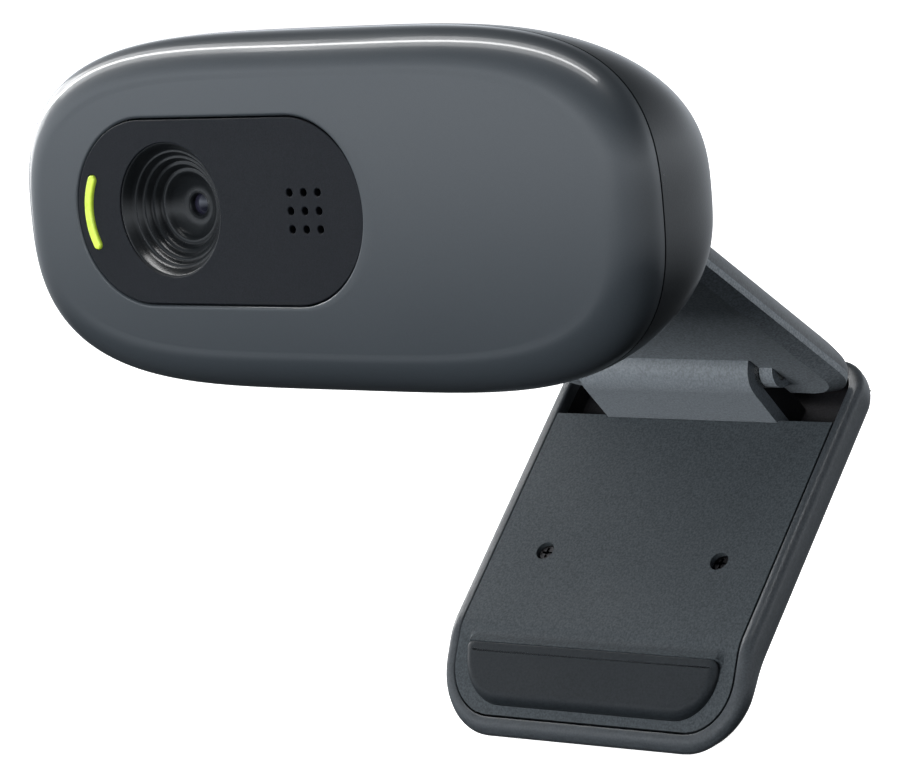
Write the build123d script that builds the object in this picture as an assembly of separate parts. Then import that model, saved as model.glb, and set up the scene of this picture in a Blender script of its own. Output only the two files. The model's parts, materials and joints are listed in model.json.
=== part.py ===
"""Clip-on webcam: an oval camera head that tilts on a flat arm, with a folding leg behind it.

Units are millimetres. +X runs across the webcam, +Y points backwards (the lens looks along -Y), +Z is up.
The origin is the centre of the arm's flat underside, which rests on the top edge of a monitor.

Three local frames keep the shapes simple:
  head frame  origin at the middle of the face, axes parallel to the part's
  arm frame   origin at the part's origin, turned so that y runs down the arm and z is the arm's thickness
  leg frame   origin on the fold hinge, y runs up the leg, z points out of the leg's front

Sizes of screws are (head radius, head height, shank radius, shank length).
Sizes of components on the board are (width, height, thickness).
"""
import os
from math import cos, pi, radians, sin

from build123d import *

# ---- angles and pivots -------------------------------------------------------------------------
ARM_SLOPE = 33.2                # the arm falls backwards by this many degrees
LEG_SLOPE = 45.0                # the leg leans forwards by this many degrees
PIVOT_LIFT = 0.56               # both hinge axes lie this far above the arm's underside
FOLD_PIVOT_Y = 20.0             # fold hinge, along the arm
TILT_PIVOT_Y = -26.4            # tilt hinge, along the arm
TILT_IN_HEAD_Y = 15.0           # tilt hinge, behind the face
TILT_IN_HEAD_Z = 3.3            # tilt hinge, above the middle of the face

# ---- fits --------------------------------------------------------------------------------------
PIN_CLEARANCE = 0.05            # round a pin or a part pushed into a bore
SCREW_CLEARANCE = 0.2           # round a screw that passes through
SMALL_GAP = 0.06                # between a part and the opening that it's glued into

# ---- head shells -------------------------------------------------------------------------------
HEAD_WIDTH = 72.9
HEAD_HEIGHT = 32.6
OUTLINE_POWER_X = 3.95          # the outline is |x/a|^px + |z/b|^pz = 1
OUTLINE_POWER_Z = 2.83
FACE_RADIUS_ACROSS = 909.0      # the face is slightly domed
FACE_RADIUS_UP = 96.5
FACE_EDGE_RADIUS = 3.6
PARTING_Y = 5.7                 # front and rear shells meet here at the middle
PARTING_RADIUS = 466.0          # the parting line curves forwards towards the ends
REAR_START_Y = 5.0              # the rear shell starts to taper here
REAR_DEPTH = 16.7               # from there to its tip
REAR_POWER_X = 3.14
REAR_POWER_Z = 1.73
REAR_RISE = 0.5                 # the rear tip sits this much above the middle
WALL = 1.5
FRONT_WALL = 2.9                # depth of the inside of the face
OUTLINE_POINTS = 44
SHELL_SCREW = (1.9, 1.2, 0.75, 9.0)
SHELL_SCREW_X, SHELL_SCREW_Z = 29.5, -7.0
SHELL_SCREW_SEAT_Y = 14.0
SHELL_BOSS_RADIUS = 2.0
SHELL_SLEEVE_RADIUS = 2.9

# ---- cable inlet -------------------------------------------------------------------------------
CABLE_X, CABLE_Z = -21.0, 5.5
CABLE_BORE_RADIUS = 1.9
CABLE_HOLE_RADIUS = 3.0
GROMMET_Y = 14.2                # the sleeve starts here, behind its collar
GROMMET_LENGTH = 5.8
GROMMET_COLLAR = 1.4
GROMMET_COLLAR_RADIUS = 3.6

# ---- face insert and lens ----------------------------------------------------------------------
INSERT_X, INSERT_Z = -10.68, 0.42
INSERT_HALF_STRAIGHT = 8.88
INSERT_RADIUS = 8.45
INSERT_GAP = 0.12
INSERT_FRONT_Y = 0.45
INSERT_THICK = 1.6
INSERT_SKIRT = 1.7              # the rim behind the plate is this deep
INSERT_SKIRT_WALL = 1.0
FLANGE_REACH = 1.3              # the rim's flange stands out this far
FLANGE_THICK = 0.8
LENS_X, LENS_Z = -16.5, 0.6
WELL_RADIUS = 6.2
WELL_STEPS = ((5.6, 1.3), (4.9, 1.3), (4.2, 1.2), (3.5, 1.0))   # (inner radius, depth) of each ring
MIC_X, MIC_Z = -0.15, 0.46
MIC_PITCH = 1.656
MIC_HOLE_RADIUS = 0.34
LIGHT_ARC_RADIUS = 6.6
LIGHT_ARC_X = -20.05
LIGHT_ARC_HALF_ANGLE = 27.0
LIGHT_WIDTH = 0.85
LIGHT_GAP = 0.1
LENS_BARREL_RADIUS, LENS_BARREL_BORE = 3.4, 2.0
LENS_BARREL_Y, LENS_BARREL_LENGTH = 3.6, 3.6
GLASS_RADIUS, GLASS_THICK = 1.95, 1.6
GLASS_Y = 4.3
GLASS_CURVE = 3.6               # radius of the dome, whose tip is cut flat by the next value
GLASS_FLAT = 0.2
HOLDER_HALF_SIZE = 6.2
HOLDER_Y = 7.3                  # front of the holder's square base
HOLDER_TUBE_RADIUS, HOLDER_TUBE_Y = 4.6, 5.6
HOLDER_BORE = 2.6
HOLDER_ROOM_HALF, HOLDER_ROOM_Y = 4.4, 8.2
FILTER_HALF_SIZE, FILTER_THICK = 3.2, 0.38
SENSOR_HALF_WIDTH, SENSOR_HALF_HEIGHT = 3.6, 3.4
SENSOR_HIGH = 0.8

# ---- board and what is on it -------------------------------------------------------------------
BOARD_Y = 9.6
BOARD_THICK = 1.0
BOARD_HALF_LENGTH = 32.0
BOARD_HALF_HEIGHT = 9.6
BOARD_CORNER = 4.0
BOARD_SCREW_HOLE = 1.1
BOARD_WINDOW_HALF = 9.2
BOARD_WINDOW_LOW, BOARD_WINDOW_HIGH = -2.2, 8.0
CHIP, CHIP_AT = (7.0, 7.0, 1.0), (21.5, 3.0)
CHIP_PINS, CHIP_PIN_PITCH = 6, 0.8
CHIP_PIN = (0.9, 0.3, 0.35)
MEMORY, MEMORY_AT = (4.0, 5.2, 1.2), (-25.5, 1.0)
CRYSTAL, CRYSTAL_AT = (2.5, 4.6, 1.1), (27.5, 2.5)
SOCKET, SOCKET_AT = (7.0, 3.6, 2.6), (-14.5, -5.4)
SOCKET_WALL = 0.6
STATUS_LED = (1.2, 1.8, 0.9)
CAPACITOR = (1.6, 0.8, 0.8)
CAPACITOR_X, CAPACITOR_Z = (-18, -14, 12, 15), 8.4
CAPSULE_RADIUS, CAPSULE_Y, CAPSULE_LENGTH = 2.0, 3.3, 1.6
BOOT_RADIUS, BOOT_Y, BOOT_LENGTH = 3.2, 2.08, 3.3

# ---- tilt hinge --------------------------------------------------------------------------------
DRUM_RADIUS = 5.8
DRUM_HALF_LENGTH = 8.0
DRUM_GAP = 0.35
TILT_PIN_RADIUS = 1.2
PIN_HEAD_RADIUS, PIN_HEAD_THICK = 2.0, 0.8
CLIP_GROOVE_START, CLIP_GROOVE = 0.05, 0.4
CLIP_RADIUS, CLIP_NECK_RADIUS = 2.1, 0.8
CLIP_OPENING = 1.2
TILT_WASHER_RADIUS = 2.8
YOKE_THICK = 1.6
YOKE_INNER_X = 8.55
YOKE_FOOT_Y = 11.0
YOKE_FOOT_THICK = 1.2
YOKE_SCREW = (1.6, 0.35, 0.7, 5.0)
YOKE_SCREW_X = 13.6
YOKE_POST_RADIUS = 2.2
LUG_RADIUS = 3.0
BRIDGE_TOP_Z, BRIDGE_THICK, BRIDGE_DEPTH = 10.9, 1.1, 2.4
TILT_UP, TILT_DOWN = 45.0, 8.0  # travel of the head from rest

# ---- arm ---------------------------------------------------------------------------------------
ARM_HALF_WIDTH = 18.4
ARM_FLAT_HALF_WIDTH = 16.86     # the underside is this wide, and a chamfer runs along its sides
ARM_CHAMFER_RISE = 0.85
ARM_THICK = 3.7
ARM_FRONT_Y = -17.0
ARM_END_CORNER, ARM_HEAD_CORNER = 5.0, 6.0
ARM_TOP_ROUND = 2.4
ARM_DROOP = 5.0                 # the top starts to fall this far in front of the fold hinge
ARM_COVER_RIM = 1.5
ARM_SCREW = (1.5, 0.7, 0.6, 2.1)
ARM_SCREW_X, ARM_SCREW_Y = 11.0, -11.0
ARM_SCREW_SEAT_Z = 0.8
EAR_REACH = 5.9                 # the ears go this far past the fold hinge
ARM_SKIN = 1.5                  # thickness of the lower plate
NOTCH_HALF_WIDTH = 10.85
NOTCH_REACH = 3.3               # the notch starts this far in front of the fold hinge
NECK_HALF_WIDTH = 8.0
NECK_THICK = 2.6
NECK_LIFT = 0.3                 # the neck's underside stands back from the arm's flat underside
NECK_ROOT = 6.0                 # the neck runs this far into the arm
EAR_BLOCK_DEPTH, EAR_BLOCK_TOP = 4.4, 1.9

# ---- leg ---------------------------------------------------------------------------------------
LEG_HALF_WIDTH = 18.3
LEG_TOP, LEG_BOTTOM = 5.0, -38.0
LEG_FRONT_Z = -4.75             # the front plane, below the hinge axis
LEG_THICK = 4.6
LEG_BACK_Z = LEG_FRONT_Z - LEG_THICK
LEG_TOP_CORNER, LEG_TOE_CORNER = 4.0, 6.5
LEG_FLANK_ROUND, LEG_TOP_ROUND = 3.2, 3.4
LEG_WALL = 1.2
TOP_WALL = 1.0
LEDGE = 1.2                     # width of the ledge under the panel
POCKET_HALF_WIDTH = 17.1        # room for the arm's ears at the top of the leg
TOE_BEND_Y = -28.5              # below this the leg's front falls away
TOE_FRONT_FALL = 4.0
TOE_BACK_FALL = 1.2
PANEL_HALF_WIDTH = 16.8
PANEL_TOP_Y = -2.75
PANEL_BOTTOM_Y = -36.3
PANEL_THICK = 1.3
PANEL_GAP = 0.1
PANEL_CORNER = 4.8
LEG_SCREW = (0.95, 0.5, 0.5, 2.3)
LEG_POST_RADIUS = 2.0
LEG_SCREW_X, LEG_SCREW_Y = 10.6, -19.3
LEG_SCREW_SEAT_Z = -5.65
PAD_HALF_WIDTH = 15.2
PAD_TOP_Y, PAD_BOTTOM_Y = -30.2, -35.6
PAD_FALL = 1.9                  # the pad's face leans back by this much
BARREL_RADIUS = 2.95
BARREL_HALF_LENGTH = 10.35
CORE_RADIUS = 1.6
TONGUE_FOOT = 1.6               # the tongue stands this deep in the leg
EAR_BOSS_RADIUS = 1.75          # round boss on each ear, about the fold pin
FOLD_PIN_RADIUS = 0.95
FOLD_PIN_HALF_LENGTH = 12.3
JOURNAL_END_X = 12.4
FOLD_WASHER_RADIUS = 1.8

os.makedirs("parts", exist_ok=True)

# ---- placing -----------------------------------------------------------------------------------
ARM_PLACE = Location((0, 0, 0), (-ARM_SLOPE, 0, 0))
SLOPE = radians(ARM_SLOPE)


def arm_point(y, z):
    """A point of the arm frame's middle plane, in the part's frame."""
    return (0, y * cos(SLOPE) + z * sin(SLOPE), z * cos(SLOPE) - y * sin(SLOPE))


FOLD_PIVOT = arm_point(FOLD_PIVOT_Y, PIVOT_LIFT)
TILT_PIVOT = arm_point(TILT_PIVOT_Y, PIVOT_LIFT)
HEAD_PLACE = Location((0, TILT_PIVOT[1] - TILT_IN_HEAD_Y, TILT_PIVOT[2] - TILT_IN_HEAD_Z))
LEG_PLACE = Location(FOLD_PIVOT, (LEG_SLOPE, 0, 0))


def across(y, z=0.0):
    """Plane whose x is X and whose y is Z, facing the front, at depth y."""
    return Plane(origin=(0, y, z), x_dir=(1, 0, 0), z_dir=(0, -1, 0))


def sideways(x=0.0):
    """Plane whose x is Y and whose y is Z, facing +X."""
    return Plane(origin=(x, 0, 0), x_dir=(0, 1, 0), z_dir=(1, 0, 0))


def back_extrude(sketch, y, depth):
    """Push a sketch in X and Z backwards from depth y."""
    return extrude(across(y) * sketch, amount=-depth)


def side_extrude(sketch, half_width):
    """Push a sketch in Y and Z both ways along X."""
    return extrude(sideways() * sketch, amount=half_width, both=True)


def block(x, y, z):
    """Box from its (low, high) pair on each axis."""
    size = [high - low for low, high in (x, y, z)]
    middle = [(high + low) / 2 for low, high in (x, y, z)]
    return Pos(*middle) * Box(*size)


def disc_y(radius, x, z, y, depth):
    """Cylinder along Y from depth y."""
    return back_extrude(Pos(x, z) * Circle(radius), y, depth)


def bore_y(radius, x, z):
    """Long cylinder along Y, for holes that go right through."""
    return disc_y(radius, x, z, -HEAD_WIDTH, 2 * HEAD_WIDTH)


def disc_x(radius, y, z, low, high):
    """Cylinder along X between two x values."""
    return extrude(sideways(low) * (Pos(y, z) * Circle(radius)), amount=high - low)


def bore_x(radius, y, z):
    """Long cylinder along X, for holes that go right through."""
    return disc_x(radius, y, z, -HEAD_WIDTH, HEAD_WIDTH)


def both_sides(shape):
    """A shape and its mirror image, as separate solids."""
    return Compound(children=[*shape.solids(), *mirror(shape, Plane.YZ).solids()])


def mirrored(shape):
    """A shape joined to its mirror image across the middle plane."""
    return shape + mirror(shape, Plane.YZ)


def save(name, shape, place):
    """Write one node in the part's frame."""
    solids = [place * solid for solid in shape.solids()]
    export_step(solids[0] if len(solids) == 1 else Compound(children=solids), f"parts/{name}.step")


# ---- head shells -------------------------------------------------------------------------------
def outline(half_width, half_height, rise=0.0):
    """The head's oval, as a face in X and Z."""
    points = []
    for index in range(OUTLINE_POINTS):
        turn = 2 * pi * (index + 0.5) / OUTLINE_POINTS
        side, up = cos(turn), sin(turn)
        x = half_width * abs(side) ** (2 / OUTLINE_POWER_X) * (1 if side > 0 else -1)
        z = half_height * abs(up) ** (2 / OUTLINE_POWER_Z) * (1 if up > 0 else -1)
        points.append((x, z + rise))
    return make_face(Spline(*points, periodic=True))


def face_dome():
    """Solid behind the head's domed face: its upright section swept round a far vertical axis."""
    height, reach = 20.0, 30.0
    sag = height**2 / 2 / FACE_RADIUS_UP
    arc = ThreePointArc((sag, -height), (0, 0), (sag, height))
    back = Polyline((sag, height), (reach, height), (reach, -height), (sag, -height))
    profile = sideways() * make_face(arc + back)
    axis = Axis((0, FACE_RADIUS_ACROSS, 0), (0, 0, 1))
    half_turn = 6.0
    return revolve(profile.rotate(axis, -half_turn), axis, revolution_arc=2 * half_turn)


def ahead_of_parting():
    """Everything in front of the line where the two shells meet."""
    middle = PARTING_Y - PARTING_RADIUS
    return Pos(0, middle, 0) * Cylinder(PARTING_RADIUS, 2 * HEAD_HEIGHT)


def rear_dome(wall):
    """Solid of the rear shell, smaller by a wall all round."""
    half_width, half_height = HEAD_WIDTH / 2 - wall, HEAD_HEIGHT / 2 - wall
    sections = [across(REAR_START_Y - 2) * outline(half_width, half_height)]
    for part in (0.0, 0.25, 0.45, 0.62, 0.76, 0.87, 0.95, 0.99):
        wide = (1 - part**REAR_POWER_X) ** (1 / REAR_POWER_X)
        tall = (1 - part**REAR_POWER_Z) ** (1 / REAR_POWER_Z)
        face = outline(half_width * wide, half_height * tall, REAR_RISE * part)
        sections.append(across(REAR_START_Y + (REAR_DEPTH - wall) * part) * face)
    return loft(sections)


def insert_shape(grow=0.0):
    """The insert's stadium, in X and Z."""
    length = 2 * (INSERT_HALF_STRAIGHT + INSERT_RADIUS + grow)
    return Pos(INSERT_X, INSERT_Z) * SlotOverall(length, 2 * (INSERT_RADIUS + grow))


def front_shell():
    """Glossy front: domed face, rounded edge, opening for the insert, two screw bosses."""
    start, past = -1.0, 1.5
    outer = back_extrude(outline(HEAD_WIDTH / 2, HEAD_HEIGHT / 2), start, PARTING_Y - start + past)
    outer = outer & face_dome()
    outer = fillet(outer.edges().group_by(Axis.Y)[0], FACE_EDGE_RADIUS)
    inner = back_extrude(outline(HEAD_WIDTH / 2 - WALL, HEAD_HEIGHT / 2 - WALL), FRONT_WALL, PARTING_Y)
    opening = back_extrude(insert_shape(INSERT_GAP), -INSERT_THICK, FRONT_WALL + 2 * INSERT_THICK)
    shell = (outer - inner - opening) & ahead_of_parting()
    boss_y = FRONT_WALL - 0.5
    boss = disc_y(SHELL_BOSS_RADIUS, SHELL_SCREW_X, SHELL_SCREW_Z, boss_y, BOARD_Y - boss_y)
    boss -= disc_y(SHELL_SCREW[2], SHELL_SCREW_X, SHELL_SCREW_Z, boss_y + 1.2, BOARD_Y)
    return shell + mirrored(boss)


def slot_fan():
    """The room that the arm's neck needs as the head tilts, swung about the tilt hinge."""
    reach, spare_below, spare_above = 16.0, 7.0, 30.0
    low = radians(-ARM_SLOPE - TILT_DOWN - spare_below)
    high = radians(-ARM_SLOPE + TILT_UP + spare_above)
    steps = 6
    rim = []
    for index in range(steps + 1):
        angle = low + (high - low) * index / steps
        rim.append((TILT_IN_HEAD_Y + reach * cos(angle), TILT_IN_HEAD_Z + reach * sin(angle)))
    fan = make_face(Polyline((TILT_IN_HEAD_Y, TILT_IN_HEAD_Z), *rim, close=True))
    return side_extrude(fan, DRUM_HALF_LENGTH + DRUM_GAP)


def rear_shell():
    """Rear cup with the drum's slot, posts for the yoke, the cable hole and two screw holes."""
    half_slot = DRUM_HALF_LENGTH + DRUM_GAP
    drum_room = disc_x(DRUM_RADIUS + DRUM_GAP, TILT_IN_HEAD_Y, TILT_IN_HEAD_Z, -half_slot, half_slot)
    shell = rear_dome(0.0) - ahead_of_parting() - rear_dome(WALL)
    post_y = YOKE_FOOT_Y + YOKE_FOOT_THICK
    post = disc_y(YOKE_POST_RADIUS, YOKE_SCREW_X, TILT_IN_HEAD_Z, post_y, REAR_DEPTH)
    post -= disc_y(YOKE_SCREW[2], YOKE_SCREW_X, TILT_IN_HEAD_Z, post_y, YOKE_SCREW[3])
    sleeve = disc_y(SHELL_SLEEVE_RADIUS, SHELL_SCREW_X, SHELL_SCREW_Z, BOARD_Y + BOARD_THICK, REAR_DEPTH)
    fixings = (post + sleeve) & rear_dome(WALL / 2)
    shell = shell + mirrored(fixings)
    for x in (SHELL_SCREW_X, -SHELL_SCREW_X):
        shell -= disc_y(SHELL_SCREW[2] + SCREW_CLEARANCE, x, SHELL_SCREW_Z, BOARD_Y, REAR_DEPTH)
        shell -= disc_y(SHELL_SCREW[0] + SCREW_CLEARANCE, x, SHELL_SCREW_Z, SHELL_SCREW_SEAT_Y, REAR_DEPTH)
    shell -= disc_y(CABLE_HOLE_RADIUS, CABLE_X, CABLE_Z, BOARD_Y, REAR_DEPTH)
    return shell - drum_room - slot_fan()


# ---- face insert, lens and lights --------------------------------------------------------------
def light_arc(width, grow=0.0):
    """Curved bar beside the lens, in X and Z, its ends moved out by a few degrees if asked."""
    sweep_angle = LIGHT_ARC_HALF_ANGLE + grow
    ring = Circle(LIGHT_ARC_RADIUS + width / 2) - Circle(LIGHT_ARC_RADIUS - width / 2)
    reach = 3 * LIGHT_ARC_RADIUS
    tips = []
    for turn in (-sweep_angle, sweep_angle):
        angle = pi + radians(turn)
        tips.append((reach * cos(angle), reach * sin(angle)))
    wedge = make_face(Polyline((0, 0), *tips, close=True))
    return Pos(LIGHT_ARC_X, INSERT_Z) * (ring & wedge)


def face_insert():
    """Dark plate with the lens hole, nine microphone holes and the slot for the light."""
    plate = back_extrude(insert_shape(), INSERT_FRONT_Y, INSERT_THICK)
    plate -= bore_y(WELL_RADIUS, LENS_X, LENS_Z)
    plate -= back_extrude(light_arc(LIGHT_WIDTH + LIGHT_GAP, 1.0), 0, 2 * INSERT_THICK)
    for column in (-1, 0, 1):
        for row in (-1, 0, 1):
            plate -= bore_y(MIC_HOLE_RADIUS, MIC_X + column * MIC_PITCH, MIC_Z + row * MIC_PITCH)
    back = INSERT_FRONT_Y + INSERT_THICK
    skirt = back_extrude(insert_shape(), back, INSERT_SKIRT)
    skirt -= back_extrude(insert_shape(-INSERT_SKIRT_WALL), back, INSERT_SKIRT)
    flange_y = back + INSERT_SKIRT - FLANGE_THICK
    flange = back_extrude(insert_shape(FLANGE_REACH), flange_y, FLANGE_THICK)
    flange -= back_extrude(insert_shape(), flange_y, FLANGE_THICK)
    return plate + skirt + flange


def lens_hood():
    """Stepped funnel from the insert's hole down to the lens."""
    depth = INSERT_FRONT_Y + 0.2
    hood = None
    for radius, length in WELL_STEPS:
        ring = disc_y(WELL_RADIUS - SMALL_GAP, LENS_X, LENS_Z, depth, length) - bore_y(radius, LENS_X, LENS_Z)
        hood = ring if hood is None else hood + ring
        depth += length
    return hood


def lens_block(half_width, half_height, low, high):
    """Block centred on the lens axis, between two depths."""
    sides = (LENS_X - half_width, LENS_X + half_width)
    return block(sides, (low, high), (LENS_Z - half_height, LENS_Z + half_height))


def lens_parts():
    """Barrel, glass, holder, infra-red filter and sensor, front to back."""
    barrel = disc_y(LENS_BARREL_RADIUS, LENS_X, LENS_Z, LENS_BARREL_Y, LENS_BARREL_LENGTH)
    barrel -= bore_y(LENS_BARREL_BORE, LENS_X, LENS_Z)
    glass = disc_y(GLASS_RADIUS, LENS_X, LENS_Z, GLASS_Y, GLASS_THICK)
    glass &= Pos(LENS_X, GLASS_Y + GLASS_CURVE - GLASS_FLAT, LENS_Z) * Sphere(GLASS_CURVE)
    holder = lens_block(HOLDER_HALF_SIZE, HOLDER_HALF_SIZE, HOLDER_Y, BOARD_Y)
    holder += disc_y(HOLDER_TUBE_RADIUS, LENS_X, LENS_Z, HOLDER_TUBE_Y, HOLDER_Y + 0.3 - HOLDER_TUBE_Y)
    seat_depth = LENS_BARREL_LENGTH + 0.4
    holder -= disc_y(LENS_BARREL_RADIUS + PIN_CLEARANCE, LENS_X, LENS_Z, LENS_BARREL_Y, seat_depth)
    holder -= disc_y(HOLDER_BORE, LENS_X, LENS_Z, LENS_BARREL_Y, BOARD_Y - LENS_BARREL_Y)
    holder -= lens_block(HOLDER_ROOM_HALF, HOLDER_ROOM_HALF, HOLDER_ROOM_Y, BOARD_Y)
    filter_y = HOLDER_ROOM_Y + 0.02
    ir_filter = lens_block(FILTER_HALF_SIZE, FILTER_HALF_SIZE, filter_y, filter_y + FILTER_THICK)
    sensor = lens_block(SENSOR_HALF_WIDTH, SENSOR_HALF_HEIGHT, BOARD_Y - SENSOR_HIGH, BOARD_Y)
    return {"lens_barrel": barrel, "front_lens": glass, "lens_holder": holder,
            "ir_filter": ir_filter, "image_sensor": sensor}


def light_pipe():
    """Clear bar that carries the status light from the board to the face."""
    bar = back_extrude(light_arc(LIGHT_WIDTH), INSERT_FRONT_Y - 0.15, INSERT_THICK)
    left = LIGHT_ARC_X - LIGHT_ARC_RADIUS
    stem_end = BOARD_Y - STATUS_LED[2] - 0.4
    stem = block((left - 0.2, left + 0.4), (INSERT_FRONT_Y + 1, stem_end), (INSERT_Z - 1.2, INSERT_Z + 1.2))
    return bar + stem


# ---- board -------------------------------------------------------------------------------------
def main_board():
    """Circuit board with a window for the tilt drum and notches for the shell screws."""
    board = Rectangle(2 * BOARD_HALF_LENGTH, 2 * BOARD_HALF_HEIGHT)
    board = fillet(board.vertices(), BOARD_CORNER)
    window = Rectangle(2 * BOARD_WINDOW_HALF, BOARD_WINDOW_HIGH - BOARD_WINDOW_LOW)
    board -= Pos(0, (BOARD_WINDOW_HIGH + BOARD_WINDOW_LOW) / 2) * window
    for x in (SHELL_SCREW_X, -SHELL_SCREW_X):
        board -= Pos(x, SHELL_SCREW_Z) * Circle(BOARD_SCREW_HOLE)
    return back_extrude(board, BOARD_Y, BOARD_THICK)


def on_board(x, z, size, behind=True):
    """A rectangular component (width, height, thickness) soldered to the board's back or front."""
    wide, tall, thick = size
    start = BOARD_Y + BOARD_THICK if behind else BOARD_Y - thick
    return block((x - wide / 2, x + wide / 2), (start, start + thick), (z - tall / 2, z + tall / 2))


def controller_chip():
    """Square chip with a row of short pins down each side."""
    x, z = CHIP_AT
    chip = on_board(x, z, CHIP)
    for side in (-1, 1):
        for pin in range(CHIP_PINS):
            up = CHIP_PIN_PITCH * (pin - (CHIP_PINS - 1) / 2)
            chip += on_board(x + side * (CHIP[0] / 2 + 0.1), z + up, CHIP_PIN)
    return chip


def cable_socket():
    """Plug socket for the cable, open at the back."""
    x, z = SOCKET_AT
    wide, tall, thick = SOCKET
    opening = on_board(x, z, (wide - 2 * SOCKET_WALL, tall - 2 * SOCKET_WALL, thick))
    return on_board(x, z, SOCKET) - Pos(0, 0.8, 0) * opening


def microphone_parts():
    """Microphone capsule and the rubber boot that seals it to the insert."""
    capsule = disc_y(CAPSULE_RADIUS, MIC_X, MIC_Z, CAPSULE_Y, CAPSULE_LENGTH)
    boot = disc_y(BOOT_RADIUS, MIC_X, MIC_Z, BOOT_Y, BOOT_LENGTH)
    boot -= disc_y(CAPSULE_RADIUS, MIC_X, MIC_Z, CAPSULE_Y, CAPSULE_LENGTH)
    boot -= disc_y(CAPSULE_RADIUS + 0.3, MIC_X, MIC_Z, 0, BOOT_Y + 0.92)
    boot -= disc_y(CAPSULE_RADIUS - 0.8, MIC_X, MIC_Z, 0, CAPSULE_Y)
    boot -= disc_y(CAPSULE_RADIUS / 2, MIC_X, MIC_Z, CAPSULE_Y, BOOT_LENGTH)
    return {"microphone_capsule": capsule, "microphone_boot": boot}


def board_parts():
    """Chips, crystal, socket, status light, capacitors and microphone."""
    light_x = LIGHT_ARC_X - LIGHT_ARC_RADIUS
    capacitors = [on_board(x, CAPACITOR_Z, CAPACITOR) for x in CAPACITOR_X]
    return {
        "controller_chip": controller_chip(),
        "memory_chip": on_board(*MEMORY_AT, MEMORY),
        "clock_crystal": on_board(*CRYSTAL_AT, CRYSTAL),
        "cable_socket": cable_socket(),
        "status_led": on_board(light_x, INSERT_Z, STATUS_LED, behind=False),
        "board_capacitors": Compound(children=capacitors),
        **microphone_parts(),
    }


def screw(head_radius, head_height, shank_radius, length):
    """Cross-recess screw along +Z, head at the bottom, its shank upwards from z = 0."""
    body = Pos(0, 0, -head_height / 2) * Cylinder(head_radius, head_height)
    body = chamfer(body.edges().sort_by(Axis.Z)[0], head_height * 0.3)
    slot = head_radius * 0.3
    recess = Box(head_radius * 1.2, slot, head_height) + Box(slot, head_radius * 1.2, head_height)
    body -= Pos(0, 0, -head_height) * recess
    return body + Pos(0, 0, length / 2) * Cylinder(shank_radius, length)


def screws_along_y(x, z, seat_y, size, forwards):
    """A pair of screws either side of the middle, whose heads seat at a depth."""
    turn = Rot(90, 0, 0) if forwards else Rot(-90, 0, 0)
    return both_sides(Pos(x, seat_y, z) * turn * screw(*size))


def tilt_disc(radius, low, high):
    """Cylinder round the tilt hinge between two x values."""
    return disc_x(radius, TILT_IN_HEAD_Y, TILT_IN_HEAD_Z, low, high)


def cable_grommet():
    """Inlet for the cable: a sleeve through the rear shell with a small collar inside."""
    sleeve = disc_y(CABLE_HOLE_RADIUS - PIN_CLEARANCE, CABLE_X, CABLE_Z, GROMMET_Y, GROMMET_LENGTH)
    collar = disc_y(GROMMET_COLLAR_RADIUS, CABLE_X, CABLE_Z, GROMMET_Y - GROMMET_COLLAR, GROMMET_COLLAR)
    return sleeve + collar - bore_y(CABLE_BORE_RADIUS, CABLE_X, CABLE_Z)


# ---- tilt hinge --------------------------------------------------------------------------------
def tilt_yoke():
    """Bracket in the head: two lugs beside the drum, two feet and a bridge over the drum."""
    lug_high = YOKE_INNER_X + YOKE_THICK
    low, high = TILT_IN_HEAD_Z - LUG_RADIUS, TILT_IN_HEAD_Z + LUG_RADIUS
    foot_back = YOKE_FOOT_Y + YOKE_FOOT_THICK
    bridge_back = YOKE_FOOT_Y + BRIDGE_DEPTH
    lug = disc_x(LUG_RADIUS, TILT_IN_HEAD_Y, TILT_IN_HEAD_Z, YOKE_INNER_X, lug_high)
    lug += block((YOKE_INNER_X, lug_high), (YOKE_FOOT_Y, TILT_IN_HEAD_Y), (low, high))
    foot = block((YOKE_INNER_X, YOKE_SCREW_X + YOKE_SCREW[0] + 1), (YOKE_FOOT_Y, foot_back), (low, high))
    upright = block((YOKE_INNER_X, lug_high), (YOKE_FOOT_Y, bridge_back), (TILT_IN_HEAD_Z, BRIDGE_TOP_Z))
    side = lug + foot + upright
    side -= bore_x(TILT_PIN_RADIUS, TILT_IN_HEAD_Y, TILT_IN_HEAD_Z)
    side -= bore_y(1.0, YOKE_SCREW_X, TILT_IN_HEAD_Z)
    bridge_low = BRIDGE_TOP_Z - BRIDGE_THICK
    bridge = block((-lug_high, lug_high), (YOKE_FOOT_Y, bridge_back), (bridge_low, BRIDGE_TOP_Z))
    return mirrored(side) + bridge


def tilt_pin():
    """Steel pin through both lugs and the drum, with a head and a groove for the clip."""
    end = YOKE_INNER_X + YOKE_THICK
    pin = tilt_disc(TILT_PIN_RADIUS, -end, end + CLIP_GROOVE_START + 2 * CLIP_GROOVE)
    groove_start, groove_end = end + CLIP_GROOVE_START, end + CLIP_GROOVE_START + CLIP_GROOVE
    groove = tilt_disc(TILT_PIN_RADIUS, groove_start, groove_end)
    groove -= tilt_disc(CLIP_NECK_RADIUS, groove_start, groove_end)
    return pin - groove + tilt_disc(PIN_HEAD_RADIUS, -end - PIN_HEAD_THICK, -end)


def tilt_clip():
    """Ring clip in the pin's groove, open on one side."""
    start = YOKE_INNER_X + YOKE_THICK + CLIP_GROOVE_START + 0.02
    end = start + CLIP_GROOVE - 0.04
    clip = tilt_disc(CLIP_RADIUS, start, end) - tilt_disc(CLIP_NECK_RADIUS, start, end)
    opening = block((start, end), (TILT_IN_HEAD_Y, TILT_IN_HEAD_Y + 2 * CLIP_RADIUS),
                    (TILT_IN_HEAD_Z - CLIP_OPENING / 2, TILT_IN_HEAD_Z + CLIP_OPENING / 2))
    return clip - opening


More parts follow.
